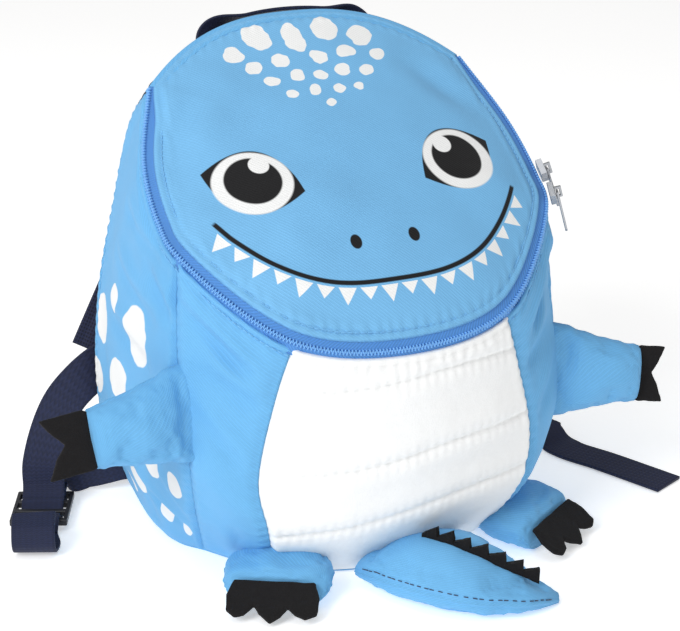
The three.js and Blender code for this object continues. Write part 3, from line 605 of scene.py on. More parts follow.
def felt_cloth():
    net = Net("claw_felt", roughness=0.97, sheen=0.03, gloss=0.15)
    fibre = net.grain(0.9, 4)
    clumps = net.grain(4, 2)
    light = 0.6 + fibre * 0.6 + clumps * 0.3
    return net.finish(net.shade(FELT_BLACK, light), fibre + clumps * 0.4, depth=0.0005, strength=0.7)


def ribbed(name, colour):
    """Webbing: fine cross ribs and a herringbone of long stripes, with painted shade where they are low, and
    darker edges.
    """
    net = Net(name, roughness=0.7, sheen=0.04, gloss=0.3)
    x, y = net.both("weave")
    rib = (y * (2 * math.pi / RIB_PITCH) + (x * 2.2).sine() * 1.4).sine() * 0.5 + 0.5
    stripe = (x * (2 * math.pi / 3.1)).sine() * 0.5 + 0.5
    border = x.size() > WEBBING_WIDTH / 2 - 1.6
    # Painted shade: the colour darkens where ribs and stripes are low; the edges are drawn darker.
    light = 0.72 + rib * 0.34 + stripe * 0.12 - border * 0.12 + net.grain(20, 2) * 0.1
    return net.finish(net.shade(colour, light), rib * 0.8 + stripe * 0.3, depth=0.00025, strength=0.6)


def spacer_mesh(name, colour):
    """Airy mesh over padding: staggered open cells, drawn darker as painted shade."""
    net = Net(name, roughness=0.75, sheen=0.04, gloss=0.3)
    x, y = net.both("weave")
    turn = 2 * math.pi / CELL_PITCH
    cell = (x * turn).sine() * (y * (turn * 0.62)).sine()
    open_cell = ((cell.size() - 0.42) * 3.2).clamped()
    # Painted shade: the open cells are drawn darker.
    light = 1.1 - open_cell * 0.62 + net.grain(1.2, 2) * 0.2
    return net.finish(net.shade(colour, light), 1 - open_cell, depth=0.0007, strength=0.8)


def zip_tape():
    net = Net("zip_tape_weave", roughness=0.7, sheen=0.1)
    x, y = net.both("weave")
    bone = ((y.size() * 3.4) + x * 3.4).sine() * 0.5 + 0.5
    # Painted shade: the tape is darker in the hollows of its herringbone.
    return net.finish(net.shade(ZIP_BLUE, 0.82 + bone * 0.22), bone, depth=0.0002, strength=0.7)


def nylon(name, colour):
    net = Net(name, roughness=0.42)
    colour_with_weave_shade = net.shade(colour, 0.85 + net.grain(3, 2) * 0.3)
    return net.finish(colour_with_weave_shade, net.grain(0.5, 1), depth=0.00005, strength=0.3)


def cast_metal():
    net = Net("slider_metal", roughness=0.24, metallic=1.0)
    wear = net.grain(2.2, 4)
    metal = net.shade(METAL, 0.75 + wear * 0.5)
    return net.finish(metal, net.grain(0.6, 3), depth=0.00004, strength=0.5, roughness=0.16 + wear * 0.22)


def moulded_plastic():
    net = Net("buckle_plastic", roughness=0.4)
    grain = net.grain(0.45, 2)
    plastic = net.shade(PLASTIC, 0.85 + net.grain(6, 2) * 0.3)
    return net.finish(plastic, grain, depth=0.00006, strength=0.5, roughness=0.34 + grain * 0.16)


def thread_material(name, colour):
    net = Net(name, roughness=0.55, sheen=0.1)
    twist = net.grain(0.4, 1)
    return net.finish(net.shade(colour, 0.85 + twist * 0.3), twist, depth=0.0001, strength=0.4)


# Parts of the shell

# Visible tape between the teeth and the turned hems of wall and lid
WALL_HEM, LID_HEM, HEM_END = 3.7, 4.7, 1.9
TAPE_DROP = 1.0
SEAM_STEP, HEM_STITCH = 0.001, 4.6


def hem_at(u, hem):
    """Distance of a hem from the zip's line: both hems close over the zip's ends."""
    return HEM_END + (hem - HEM_END) * eased(np.clip((np.abs(turned(u)) - CORNER) / 0.5, 0, 1))


def wall_hem(u):
    return hem_at(u, WALL_HEM)


def hem_rise(d, points, seed):
    """A turned and topstitched hem: d is the distance from its fold."""
    roll = 0.6 * bell(d - 1.6, 1.6) - 1.1 * bell(d, 0.7) - 0.6 * bell(d - 4.6, 0.8) + 0.4 * bell(d - 8, 2.6)
    return roll + 0.3 * np.sin(points[:, 0] * 0.9 + 2.5 * ripple(points, 12, seed)) * bell(d - 6, 4)


def span_of(start, end):
    us = np.linspace(start, end, 40)
    return np.linalg.norm(np.diff(shell(us, 0.5), axis=0), axis=1).sum()


def wall_place(start, end, relief, seam_depth=1.5, hem=wall_hem):
    """Places of a panel between two seams, drawn in where it is sewn and hemmed at its top."""
    width = span_of(start, end)

    def place(a, b):
        u = start + SEAM_STEP + (end - start - 2 * SEAM_STEP) * a
        tall = column_length(u)
        low, high = 0.5 / tall, 1 - hem(u) / tall
        v = low + (high - low) * b
        points = shell(u, v)
        ways = facing(shell, u, np.clip(v, 0.006, 0.994), 0.02, 0.005)
        x, y = (a - 0.5) * width, v * tall
        top = high * tall - y
        edge = np.minimum(np.minimum(a, 1 - a) * width, y - low * tall)
        pucker = np.sin(y * 0.9 + 2 * ripple(points, 14, 3)) * bell(edge, 7)
        drawn = -seam_depth * bell(edge, 3.2) + 0.5 * bell(edge - 6, 4) + 0.3 * pucker
        rise = drawn + hem_rise(top, points, 6) + relief(points, x, y, np.minimum(edge, top))
        return points + ways * rise[:, None], ways, np.stack([x, y], 1)

    return place


SIDE_FOLDS = (
    ((108, -52, 126), (122, -30, 84), 4.5, 2.6), ((110, -50, 150), (121, -24, 176), 5, 2.2),
    ((118, -28, 150), (121, 30, 168), 5, 1.8), ((121, -20, 120), (127, 40, 132), 6, 1.6),
    ((113, -44, 96), (122, 10, 84), 5, 1.8), ((104, -36, 30), (113, -6, 64), 5, 1.6),
    ((110, 4, 14), (118, 30, 70), 5, 1.4), ((112, -30, 186), (118, 20, 200), 4, 1.4),
    ((106, -30, 18), (118, 8, 34), 3.5, 1.2), ((122, 20, 44), (125, 50, 96), 6, 1.2),
)
FRONT_FOLDS = (
    ((109, -42, 172), (84, -88, 130), 4.5, 3.6), ((106, -55, 112), (92, -86, 84), 5, 2.4),
    ((100, -60, 130), (80, -96, 112), 6, 2.0),
    ((88, -40, 20), (94, -66, 52), 4, 1.3), ((78, -52, 12), (88, -74, 36), 4, 1.2),
)


SIDE_WAVES, FRONT_WAVES = ((1.9, 42, 5), (0.6, 16, 8)), ((1.7, 34, 11), (0.5, 14, 13))


def wall_relief(side, table, waves, reach):
    """Folds and soft waves of a wall, flat at its seams; each wave is its height, width and seed."""
    flip = np.array((side, 1, 1))
    creases = [(flip * a, flip * b, width, depth) for a, b, width, depth in table]

    def relief(points, x, y, edge):
        soft = sum(tall * ripple(points, width, seed + side) for tall, width, seed in waves)
        return (folds(points, creases) + soft) * np.clip(edge / reach, 0, 1)

    return relief


# Quilting of the belly: height of each sewn line at the middle, and how much it climbs to the right
QUILTING = ((48, 10), (83, 7), (128, 3))


def belly_relief(points, x, y, edge):
    relief = 0.5 * ripple(points, 20, 21) + 0.25 * ripple(points, 8, 22)
    for height, climb in QUILTING:
        line = height + climb * points[:, 0] / 70 + 1.5 * np.sin(points[:, 0] / 19)
        d = points[:, 2] - line
        pucker = 0.25 * np.sin(points[:, 0] * 1.1) * bell(d, 6)
        relief += -1.5 * bell(d, 1.5) + 0.9 * bell(np.abs(d) - 7, 6) + pucker
    return relief * np.clip(edge / 6, 0, 1)


def back_relief(points, x, y, edge):
    """Channels of the padded back."""
    relief = 0.3 * ripple(points, 25, 31)
    for height in (60, 118, 176, 232):
        d = np.abs(points[:, 2] - height - 8 * np.cos(points[:, 0] / 45))
        relief += -2.2 * bell(d, 2.4) + 0.3 * bell(d - 10, 8)
    return relief * np.clip(edge / 10, 0, 1)


LID_FOLDS = (
    ((-80, -68, 168), (-40, -88, 158), 9, 2.4), ((-100, -20, 196), (-84, -50, 186), 8, 2.4),
    ((30, -86, 160), (74, -70, 168), 9, 1.8), ((-92, 14, 232), (-70, 30, 252), 9, 2.2),
    ((60, 30, 262), (88, 6, 234), 9, 1.8), ((-46, -40, 196), (-20, -62, 184), 12, 2.0),
)


def lid_place(a, b):
    """Places of the domed lid from a square grid laid over a disc."""
    x, y = 2 * a - 1, 2 * b - 1
    r = np.maximum(np.abs(x), np.abs(y))
    u = square_turn(x, y, r) * MIDDLE
    reach = np.linalg.norm(shell(u, 1) - CROWN, axis=1)
    limit = 1 - hem_at(u, LID_HEM) / reach
    share = r * limit
    points = lid(u, share)
    inner, outer = lid(u, np.maximum(share - 0.01, 0.002)), lid(u, share + 0.01)
    tangent = lid(u + 0.03, np.maximum(share, 0.02)) - lid(u - 0.03, np.maximum(share, 0.02))
    ways = unit(np.cross(outer - inner, tangent))
    ways = np.where((ways @ LID_UP < 0)[:, None], -ways, ways)
    ways[r < 0.02] = LID_UP
    edge = (1 - r) * limit * reach
    soft = 2.4 * ripple(points, 52, 41) + 0.5 * ripple(points, 20, 42) + folds(points, LID_FOLDS)
    rise = soft * np.clip(edge / 12, 0, 1) + hem_rise(edge, points, 7)
    points = points + ways * rise[:, None]
    return points, ways, np.stack([points[:, 0], (points - CHIN) @ LID_ALONG], 1)


def square_turn(x, y, r):
    """Turn of a place on a square, from -1 to 1, even along its sides."""
    r = np.maximum(r, 1e-9)
    right = (np.abs(x) >= np.abs(y)) & (x > 0)
    left = (np.abs(x) >= np.abs(y)) & (x <= 0)
    top = (np.abs(y) > np.abs(x)) & (y > 0)
    turn = np.where(right, y / r * 0.25, 0)
    turn = np.where(top, 0.5 - x / r * 0.25, turn)
    turn = np.where(left, np.where(y >= 0, 1 - y / r * 0.25, -1 - y / r * 0.25), turn)
    return np.where((np.abs(y) > np.abs(x)) & (y <= 0), -0.5 + x / r * 0.25, turn)


# Zip

# Millimetres from one column to the next along the lid's edge
COLUMN_SPAN = 60


def strip_place(start, end, s0, s1, thick=0.0):
    """Places of a strip that follows the lid's edge."""

    def place(a, b):
        u = start + (end - start) * a
        s = s0 + (s1 - s0) * b
        points, ways = rim(u, s), rim_ways(u, s)
        length = a * (end - start) * COLUMN_SPAN
        rise = thick * np.clip(np.abs(s) / 2 - 0.6, 0.3, 1)
        return points + ways * rise[:, None], ways, np.stack([length, s], 1)

    return place


WALL_LEAN = 0.75


def rim_frame(u):
    """On the zip's line: its place, its outward way, the way along it and the way across it."""
    u = np.atleast_1d(np.asarray(u, float))
    p = rim(u, 0 * u)
    along = unit(rim(u + RIM_STEP, 0 * u) - rim(u - RIM_STEP, 0 * u))
    wall_out, lid_out = (
        outward(unit(np.cross(rim(u, 0 * u + s) - p, along)), p) for s in (-COIL_HALF, COIL_HALF))
    out = unit(lid_out + (wall_out - lid_out) * WALL_LEAN)
    return p, out, along, unit(np.cross(out, along))


def bar(size, bevel):
    """A small bar with rounded edges, long in X."""
    bm = bmesh.new()
    bmesh.ops.create_cube(bm, size=1)
    bmesh.ops.scale(bm, vec=Vector(size) * MM, verts=bm.verts)
    bmesh.ops.bevel(bm, geom=bm.edges[:], offset=bevel * MM, segments=1, profile=0.5, material=-1,
                    affect="EDGES")
    return mesh_of("bar", bm)


def repeated(part, places):
    """One bmesh with a part at each place, given as its point and its three ways."""
    bm = bmesh.new()
    for point, x, y, z in places:
        copy = part.copy()
        turn = Matrix(np.stack([x, y, z], 1).tolist()).to_4x4()
        turn.translation = Vector(point) * MM
        copy.transform(turn)
        bm.from_mesh(copy)
        bpy.data.meshes.remove(copy)
    bpy.data.meshes.remove(part)
    return bm


def even_steps(f, start, end, pitch):
    """Values of u at even steps along a line."""
    us = np.linspace(start, end, 900)
    steps = np.concatenate([[0], np.cumsum(np.linalg.norm(np.diff(f(us), axis=0), axis=1))])
    return np.interp(np.arange(pitch / 2, steps[-1], pitch), steps, us)


STITCH, THREAD = 2.6, 0.55


def stitch_row(name, points, ways, material):
    """Stitches along a line of places, lying on the cloth."""
    along = unit(np.gradient(points, axis=0))
    side = unit(np.cross(ways, along))
    part = bar((STITCH, THREAD, THREAD), bevel=THREAD * 0.28)
    bm = repeated(part, zip(points + ways * 0.12, along, side, np.cross(along, side)))
    return dressed(name, mesh_of(name, bm), None, material)


# Stuffed pieces


# The coarse copy's face size, its simulated frames, and the most that a point moves, in millimetres
VOXEL, AIR_FRAMES, AIR_CAP = 4.5, 20, 5
LIMB_POWER = 0.85


def puffed(piece, place):
    """Rounds a stuffed piece between its seams: it follows a coarse copy that is filled with air."""
    shares, none = np.linspace(0, 1, 60), np.zeros(60)
    lines = ((none, shares), (none + 0.5, shares), (shares, none), (shares, none + 1))
    seams = np.concatenate([place(a, b)[0] for a, b in lines])
    air = added(piece.name + "_air", piece.data.copy())
    remesh = air.modifiers.new("Even", "REMESH")
    remesh.mode = "VOXEL"
    remesh.voxel_size = VOXEL * MM
    even = settled(air)
    air.modifiers.clear()
    air.data = even
    start = points_of(even) / MM
    near = np.array([np.min(np.linalg.norm(seams - q, axis=1)) for q in start])
    held = air.vertex_groups.new(name="seams")
    held.add([int(i) for i in np.nonzero(near < 0.75 * VOXEL)[0]], 1, "ADD")
    cloth = air.modifiers.new("Air", "CLOTH")
    cloth.settings.use_pressure = True
    cloth.settings.uniform_pressure_force = 4
    cloth.settings.effector_weights.gravity = 0
    cloth.settings.vertex_group_mass = "seams"
    cloth.settings.shrink_min = -0.05
    cloth.point_cache.frame_end = AIR_FRAMES
    for number in range(1, AIR_FRAMES + 1):
        bpy.context.scene.frame_set(number)
    shift = points_of(settled(air)) / MM - start
    bpy.context.scene.frame_set(1)
    bpy.data.objects.remove(air)
    follow(piece, start, shift)


def settled(piece):
    """A mesh of a piece with its modifiers applied."""
    graph = bpy.context.evaluated_depsgraph_get()
    return bpy.data.meshes.new_from_object(piece.evaluated_get(graph), depsgraph=graph)


def follow(piece, start, shift):
    """Moves a piece's points with the nearest places of a coarse copy, by no more than the cap."""
    length = np.linalg.norm(shift, axis=1, keepdims=True)
    shift = shift * np.minimum(1, AIR_CAP / np.maximum(length, 1e-6))
    tree = kdtree.KDTree(len(start))
    for i, q in enumerate(start):
        tree.insert(q, i)
    tree.balance()
    points = points_of(piece.data) / MM
    for q in points:
        found = [(i, 1 / (d + 0.5) ** 2) for _, i, d in tree.find_n(q, 8)]
        q += sum(shift[i] * weight for i, weight in found) / sum(weight for _, weight in found)
    points[:, 2] = np.maximum(points[:, 2], FLOOR)
    put(piece.data, points)


def rounded_ring(share, wide, tall):
    c, s = ring(share)
    return signed_power(c, LIMB_POWER) * wide, signed_power(s, LIMB_POWER) * tall


def stuffed_place(rows, frame_at, relief, length, around=None):
    """Places of a stuffed limb from rows that end in its half width and half thickness."""
    table = np.array(rows, float)

    def place(a, b):
        values = through(table, b)
        half = values[:, -2]
        origin, wide, tall = frame_at(values, b)
        x, y = rounded_ring(a, half, values[:, -1])
        points = origin + wide * x[:, None] + tall * y[:, None]
        seam = np.minimum(np.abs(a - 0.5), np.minimum(a, 1 - a)) * 2 * math.pi * np.maximum(half, 6)
        rise = relief(points, a, b, seam)
        across = a * (around or 2 * math.pi * half.mean())
        return points + unit(points - origin) * rise[:, None], np.stack([across, b * length], 1)

    return place


def limb_relief(seed, crease=1.0):
    def relief(points, a, t, seam):
        soft = 0.9 * ripple(points, 15, seed) + 0.35 * ripple(points, 6, seed + 1)
        ridge = 0.7 * bell(seam, 0.8) - 0.5 * bell(seam - 2.4, 1.6)
        pull = 0.5 * np.sin(t * 34 + 3 * ripple(points, 10, seed + 2)) * bell(seam, 8)
        return crease * (soft + pull) * np.sin(np.pi * np.clip(t, 0.06, 0.97)) ** 0.5 + ridge

    return relief


def grounded_relief(seed):
    """Relief of a limb that lies on the floor, where it is flat."""
    base = limb_relief(seed, 0.8)

    def relief(points, a, t, seam):
        return base(points, a, t, seam) * np.clip(points[:, 2] / 4, 0, 1)

    return relief


ARM_LENGTH, ARM_ROOT, ARM_CUFF, ARM_THICK = 51, 27, 16, 11
ARM_ROWS = ((-0.2, 1, 0.5), (0.02, 0.97, 0.62), (0.22, 0.86, 0.86), (0.5, 0.73, 1), (0.82, 0.61, 0.88),
            (0.97, 0.57, 0.66), (1.02, 0.54, 0.45))
ARMS = {"left": (-1, 0.565, 0.06), "right": (1, 0.52, 0.17)}


def arm_place(side, level, droop):
    root = shell(side * FRONT, level)[0]
    out = unit(np.array((side, -0.1, -droop), float))
    up = unit(np.array((0, 0.3, 1.0)))
    wide = unit(up - out * np.dot(up, out))
    tall = np.cross(out, wide)
    rows = [(t, ARM_CUFF + (ARM_ROOT - ARM_CUFF) * (w - 0.56) / 0.44, h * ARM_THICK) for t, w, h in ARM_ROWS]

    def frame_at(values, t):
        return root + out * (values[:, 0] * ARM_LENGTH)[:, None], wide, tall

    return stuffed_place(rows, frame_at, limb_relief(51 + side, 0.55), ARM_LENGTH * 1.2)


FOOT_LENGTH, FOOT_HALF, FOOT_TALL = 47, 30, 25
FOOT_ROWS = ((0, 0.5, 0.8), (0.3, 0.78, 1), (0.62, 1, 0.98), (0.86, 0.97, 0.92), (0.97, 0.9, 0.78),
             (1.01, 0.82, 0.6))
FEET = {"left": (-0.43, 0.52, -27, 61), "right": (0.56, 0.43, 36, 64)}


def foot_place(x, y, turn, seed):
    c, s = turning(turn)
    out, wide = np.array((s, -c, 0)), np.array((c, s, 0))
    start = np.array((x * HALF_WIDTH, y * BELLY_Y, 0))
    rows = np.array([(t, w * FOOT_HALF, h * FOOT_TALL / 2) for t, w, h in FOOT_ROWS])

    def frame_at(values, t):
        return start + out * (values[:, :1] * FOOT_LENGTH) + UP * through(rows[:, 2:], t), wide, UP

    return stuffed_place(rows, frame_at, grounded_relief(seed), FOOT_LENGTH)


TAIL_HALF, TAIL_TALL, TAIL_LENGTH = 33, 28, 73
TAIL_WEAVE = 150, 110
TAIL_ROWS = ((0, 0, 0.86, 0.6), (0.1, -0.2, 0.96, 0.88), (0.28, -0.48, 0.97, 1), (0.52, -0.74, 0.82, 0.92),
             (0.82, -0.92, 0.48, 0.64), (1.12, -0.98, 0.08, 0.2))


def tail_line(t):
    root = shell(MIDDLE, 0)[0]
    rows = [(root[0] + x * TAIL_LENGTH * 0.86, root[1] + y * TAIL_LENGTH, 0) for x, y, _, _ in TAIL_ROWS]
    return through(rows, t)


def tail_frame(values, t):
    """The tail's frame lies on the floor and turns with its line."""
    along = unit(tail_line(np.clip(t + 0.01, 0, 1)) - tail_line(np.clip(t - 0.01, 0, 1)))
    return tail_line(t) + UP * values[:, 1:], np.stack([-along[:, 1], along[:, 0], 0 * t], 1), UP


def tail_place():
    rows = [(w * TAIL_HALF, h * TAIL_TALL / 2) for _, _, w, h in TAIL_ROWS]
    return stuffed_place(rows, tail_frame, grounded_relief(71), TAIL_WEAVE[1], TAIL_WEAVE[0])


# Straps


def band_piece(name, line, size, section, material):
    """A band along a line of points and of ways across it; section gives its outline at a share round it."""
    points, ways = (np.array(part, float) for part in line)
    fine = through(points, np.linspace(0, 1, 240))
    length = np.linalg.norm(np.diff(fine, axis=0), axis=1).sum()

    def place(a, b):
        along = unit(through(points, np.clip(b + 0.002, 0, 1)) - through(points, np.clip(b - 0.002, 0, 1)))
        wide = through(ways, b)
        wide = unit(wide - along * np.sum(wide * along, axis=1)[:, None])
        thick = unit(np.cross(along, wide))
        x, y = section(a, b * length, length)
        q = through(points, b) + wide * x[:, None] + thick * y[:, None]
        q[:, 2] = np.maximum(q[:, 2], FLOOR)
        return q, np.stack([x, b * length], 1)

    return tube_piece(name, size, place, material)


def flat_section(a, s, length):
    """Webbing: a flat band with rounded edges and fine ribs."""
    c, n = ring(a)
    x = signed_power(c, 0.5) * WEBBING_WIDTH / 2
    y = np.sign(n) * np.minimum(np.abs(n) * 3.2, 1) ** 0.7 * WEBBING / 2
    rib = 0.05 * np.sin(s * 2 * math.pi / 2.6) * (np.abs(x) < WEBBING_WIDTH / 2 - 1.2)
    return x, y + np.sign(n) * rib


STRAP_WIDTH, STRAP_THICK, STRAP_STANDOFF = 46, 9, 30
STRAP_EDGE, CHANNEL_PITCH = 5, 42
STRAP_ROWS = (
    (0.3, 0.15, 0.84, (1, 0, 0.1)), (0.37, 0.6, 0.76, (1, 0, 0.3)), (0.5, 0.95, 0.63, (1, 0.05, 0.45)),
    (0.64, 1, 0.48, (1, 0.15, 0.5)), (0.78, 0.92, 0.36, (1, 0.3, 0.5)), (0.9, 0.72, 0.27, (1, 0.45, 0.5)),
)
BUCKLE_LENGTH, BUCKLE_THICK, BAR = 38, 4, 3.6
SLOT = (BUCKLE_LENGTH - 4 * BAR) / 3
BAR_LOW = WEBBING + 4 * GAP
BAR_HIGH = BAR_LOW + BUCKLE_THICK
MID = (BAR_LOW + BAR_HIGH) / 2
UNDER, OVER = WEBBING / 2 + 2 * GAP, BAR_HIGH + WEBBING / 2 + 2 * GAP
BUCKLES = {"left": (-1.28, 0.95, -111, 9), "right": (1.13, 0.92, -66, 16)}
FREE_ENDS = {
    "left": ((-1.42, 0.22, 0.01), (-1.46, 0.06, 0.14), (-1.47, 0.02, 0.45), (-1.46, 0.08, 0.8),
             (-1.43, 0.26, 0.95)),
    "right": ((1.3, 0.16, 0.01), (1.4, -0.15, 0.01), (1.49, -0.46, 0.01), (1.57, -0.74, 0.01)),
}
LOOP_TALL = 20


def strap_point(row):
    return np.array((row[0] * HALF_WIDTH, BACK_Y + row[1] * STRAP_STANDOFF, row[2] * HEIGHT))


def pad_section(a, s, length):
    """A padded strap: full in the middle, flat where its edges are bound, with sewn channels."""
    c, n = ring(a)
    x = signed_power(c, 0.62) * STRAP_WIDTH / 2
    inner = np.clip(1 - (np.abs(x) / (STRAP_WIDTH / 2 - STRAP_EDGE)) ** 4, 0, 1)
    y = signed_power(n, 0.35) * (STRAP_THICK / 2 - 2.6 + 2.6 * inner)
    y = np.where(np.abs(x) > STRAP_WIDTH / 2 - STRAP_EDGE, signed_power(n, 0.5) * 2.2, y)
    step = s % CHANNEL_PITCH - CHANNEL_PITCH / 2
    return x, y * (1 - 0.34 * bell(step, 1.6)) * (1 - 0.25 * bell(np.minimum(s, length - s), 3))


def bar_at(i):
    return BAR / 2 + i * (BAR + SLOT)


def slot_at(i):
    return BAR + SLOT / 2 + i * (BAR + SLOT)


class Buckle:
    """Places by a buckle that lies on the floor and points away from its anchor."""

    def __init__(self, x, y, turn):
        self.start = np.array((x * HALF_WIDTH, y * BACK_Y, 0))
        self.along = np.array((*turning(turn), 0))
        self.across = np.array((-self.along[1], self.along[0], 0))

    def at(self, along, z):
        p = self.start + self.along * along
        return np.array((p[0], p[1], z))

    def crossing(self, i, z):
        """Places on, before and after a bar."""
        return [self.at(bar_at(i) + k * (BAR / 2 + 2 * GAP), z) for k in (-1, 0, 1)]


def anchor_line(side, where):
    """The tab from the body that wraps the first bar of its buckle."""
    buckle = Buckle(*where[:3])
    root = shell(side * 1.12, 0.075)[0]
    near = buckle.at(-9, OVER)
    half = (OVER - UNDER) / 2
    loop = []
    for degrees in (90, 45, 0, -45, -90):
        c, s = turning(degrees)
        loop.append(buckle.at(bar_at(0) + BAR / 2 + GAP + half * c, UNDER + half * (1 + s)))
    points = [root - (side * 6, 0, 0), root, (root + near) / 2, near, buckle.at(-4, OVER), *loop,
              buckle.at(-6, UNDER)]
    ways = [UP, UP, buckle.across + (0, 0, 0.8)] + [buckle.across] * (len(points) - 3)
    return points, ways


def webbing_line(side, where, free_end):
    """From under the padded strap, over and under the buckle's bars, to the free end."""
    buckle, bulge = Buckle(*where[:3]), where[3]
    end = strap_point(STRAP_ROWS[-1]) * (side, 1, 1)
    start = end + (side, -STRAP_THICK / 2 - WEBBING - 4 * GAP, STRAP_WIDTH * 0.1)
    target = buckle.at(bar_at(1), OVER)
    arc = start + (target - start) * 0.45 + (side * bulge, 4, 10)
    points = [start, arc, buckle.at(slot_at(0) - 3, OVER + 20), buckle.at(slot_at(0) + 1, OVER + 6),
              *buckle.crossing(1, OVER)[1:], buckle.at(slot_at(1), MID), *buckle.crossing(2, UNDER),
              buckle.at(slot_at(2), MID), *buckle.crossing(3, OVER), buckle.at(BUCKLE_LENGTH + 4, MID + 1),
              buckle.at(BUCKLE_LENGTH + 9, UNDER + 0.4)]
    points += [np.array((fx * HALF_WIDTH, fy * BACK_Y, UNDER + fz * LOOP_TALL)) for fx, fy, fz in free_end]
    ways = [np.array((1, -0.3 * side, 0.2))] + [buckle.across] * (len(points) - 1)
    return points, ways


HANDLE_SPAN, HANDLE_RISE, HANDLE_REACH = 88, 23, 20


def handle_line():
    end = shell(0.5, 0.905)[0]
    y = end[1] + WEBBING / 2 + GAP
    rows = ((-1, 0, -0.2), (-1, 0, 0.05), (-1, 0.55, 0.6), (-0.55, 0.95, 1), (0.55, 0.95, 1), (1, 0.55, 0.6),
            (1, 0, 0.05), (1, 0, -0.2))
    points = [(x * HANDLE_SPAN / 2, y + out * HANDLE_REACH, end[2] + up * HANDLE_RISE) for x, out, up in rows]
    ways = ((1, 0, 0), (1, 0, 0), (0.8, 0.3, -0.5), (0, 0.9, -0.4), (0, 0.9, -0.4), (-0.8, 0.3, -0.5),
            (-1, 0, 0), (-1, 0, 0))
    return points, ways


# Copies of solid nodes with rounded edges

# Most that felt rises, in millimetres, and how often its long edges are cut
FELT_FUZZ, FELT_CUTS = 0.35, 3


def split_faces(bm):
    """Cuts the faces with more than four corners into triangles."""
    bmesh.ops.triangulate(bm, faces=[f for f in bm.faces if len(f.verts) > 4])


def softened(name, bevel, segments, material, body=BAG, felt=False):
    """A node's own shape with its edges rounded, and fuzzed where it is felt."""
    bm = bmesh.new()
    bm.from_mesh(NODES[name].data)
    bmesh.ops.remove_doubles(bm, verts=bm.verts, dist=1e-5)
    bmesh.ops.dissolve_limit(bm, angle_limit=math.radians(2), verts=bm.verts, edges=bm.edges)
    edges = [e for e in bm.edges if len(e.link_faces) == 2 and e.calc_face_angle(0) > math.radians(25)]
    bmesh.ops.bevel(bm, geom=edges, offset=bevel * MM, segments=segments, profile=0.5, material=-1,
                    affect="EDGES", clamp_overlap=True)
    split_faces(bm)
    if felt:
        for _ in range(FELT_CUTS):
            long_edges = [e for e in bm.edges if e.calc_length() > 2.4 * MM]
            bmesh.ops.subdivide_edges(bm, edges=long_edges, cuts=1, use_grid_fill=True)
            split_faces(bm)
        bm.normal_update()
        for v in bm.verts:
            v.co += v.normal * (FELT_FUZZ * MM * noise.noise(v.co / (3.2 * MM)))
    bmesh.ops.recalc_face_normals(bm, faces=bm.faces)
    shown = name + "_shown"
    return dressed(shown, mesh_of(shown, bm), name, material, body, smooth=felt)


# Settings


def length_setting(name, description, default, low):
    return bpy.props.FloatProperty(
        name=name, description=description, default=default * MM, min=low, unit="LENGTH")


def colour_setting(name, description, default):
    return bpy.props.FloatVectorProperty(
        name=name, description=description, subtype="COLOR", size=3, default=default, min=0, max=1)


class BackpackSizes(bpy.types.PropertyGroup):
    """Sizes that change how the pieces look."""

    stitch_pitch: length_setting("Stitch pitch", "Distance from one stitch to the next", 3.6, 0.001)
    tooth_pitch: length_setting("Zip tooth pitch", "Distance from one zip tooth to the next", 0.95, 0.0008)
    panel_step: length_setting("Panel step", "Size of the faces of a sewn panel", 1.15, 0.0005)
    fill: bpy.props.FloatProperty(
        name="Fill", description="How full the stuffed pieces are", default=0.7, min=0, max=1,
        subtype="FACTOR")


class BackpackColours(bpy.types.PropertyGroup):
    """Colours that a user would change."""

    body: colour_setting("Body", "Colour of the body's cloth", SKY)
    strap: colour_setting("Straps", "Colour of straps and back", NAVY)


def sizes():
    return bpy.context.scene.backpack_sizes


def colour_of(part):
    return tuple(getattr(bpy.context.scene.backpack_colours, part))


MATERIALS = {}


def material(name, maker, *details):
    """A material by name, made the first time that it is asked for."""
    if name not in MATERIALS:
        MATERIALS[name] = maker(*details)
    return MATERIALS[name]


def body_cloth():
    return material("body", woven, "body_cloth", colour_of("body"))


def felt_piece(name, bevel=1.0):
    softened(name, bevel, 3, material("felt", felt_cloth), felt=True)


# Faces across and along the pieces whose grids are fixed
GRIDS = {"arm": (96, 64), "foot": (110, 56), "tail": (120, 96), "tape": (420, 5), "binding": (150, 20),
         "back": (150, 170), "strap": (80, 200), "webbing": (36, 420), "anchor": (36, 140),
         "handle": (36, 260)}
# Rough heights of the panels whose grids follow the panel step
SIDE_TALL, FRONT_TALL, BELLY_TALL, LID_SPAN = 200, 180, 150, 230
BASE_SCALE = 0.985


def count_of(length):
    return max(8, round(length * MM / sizes().panel_step))


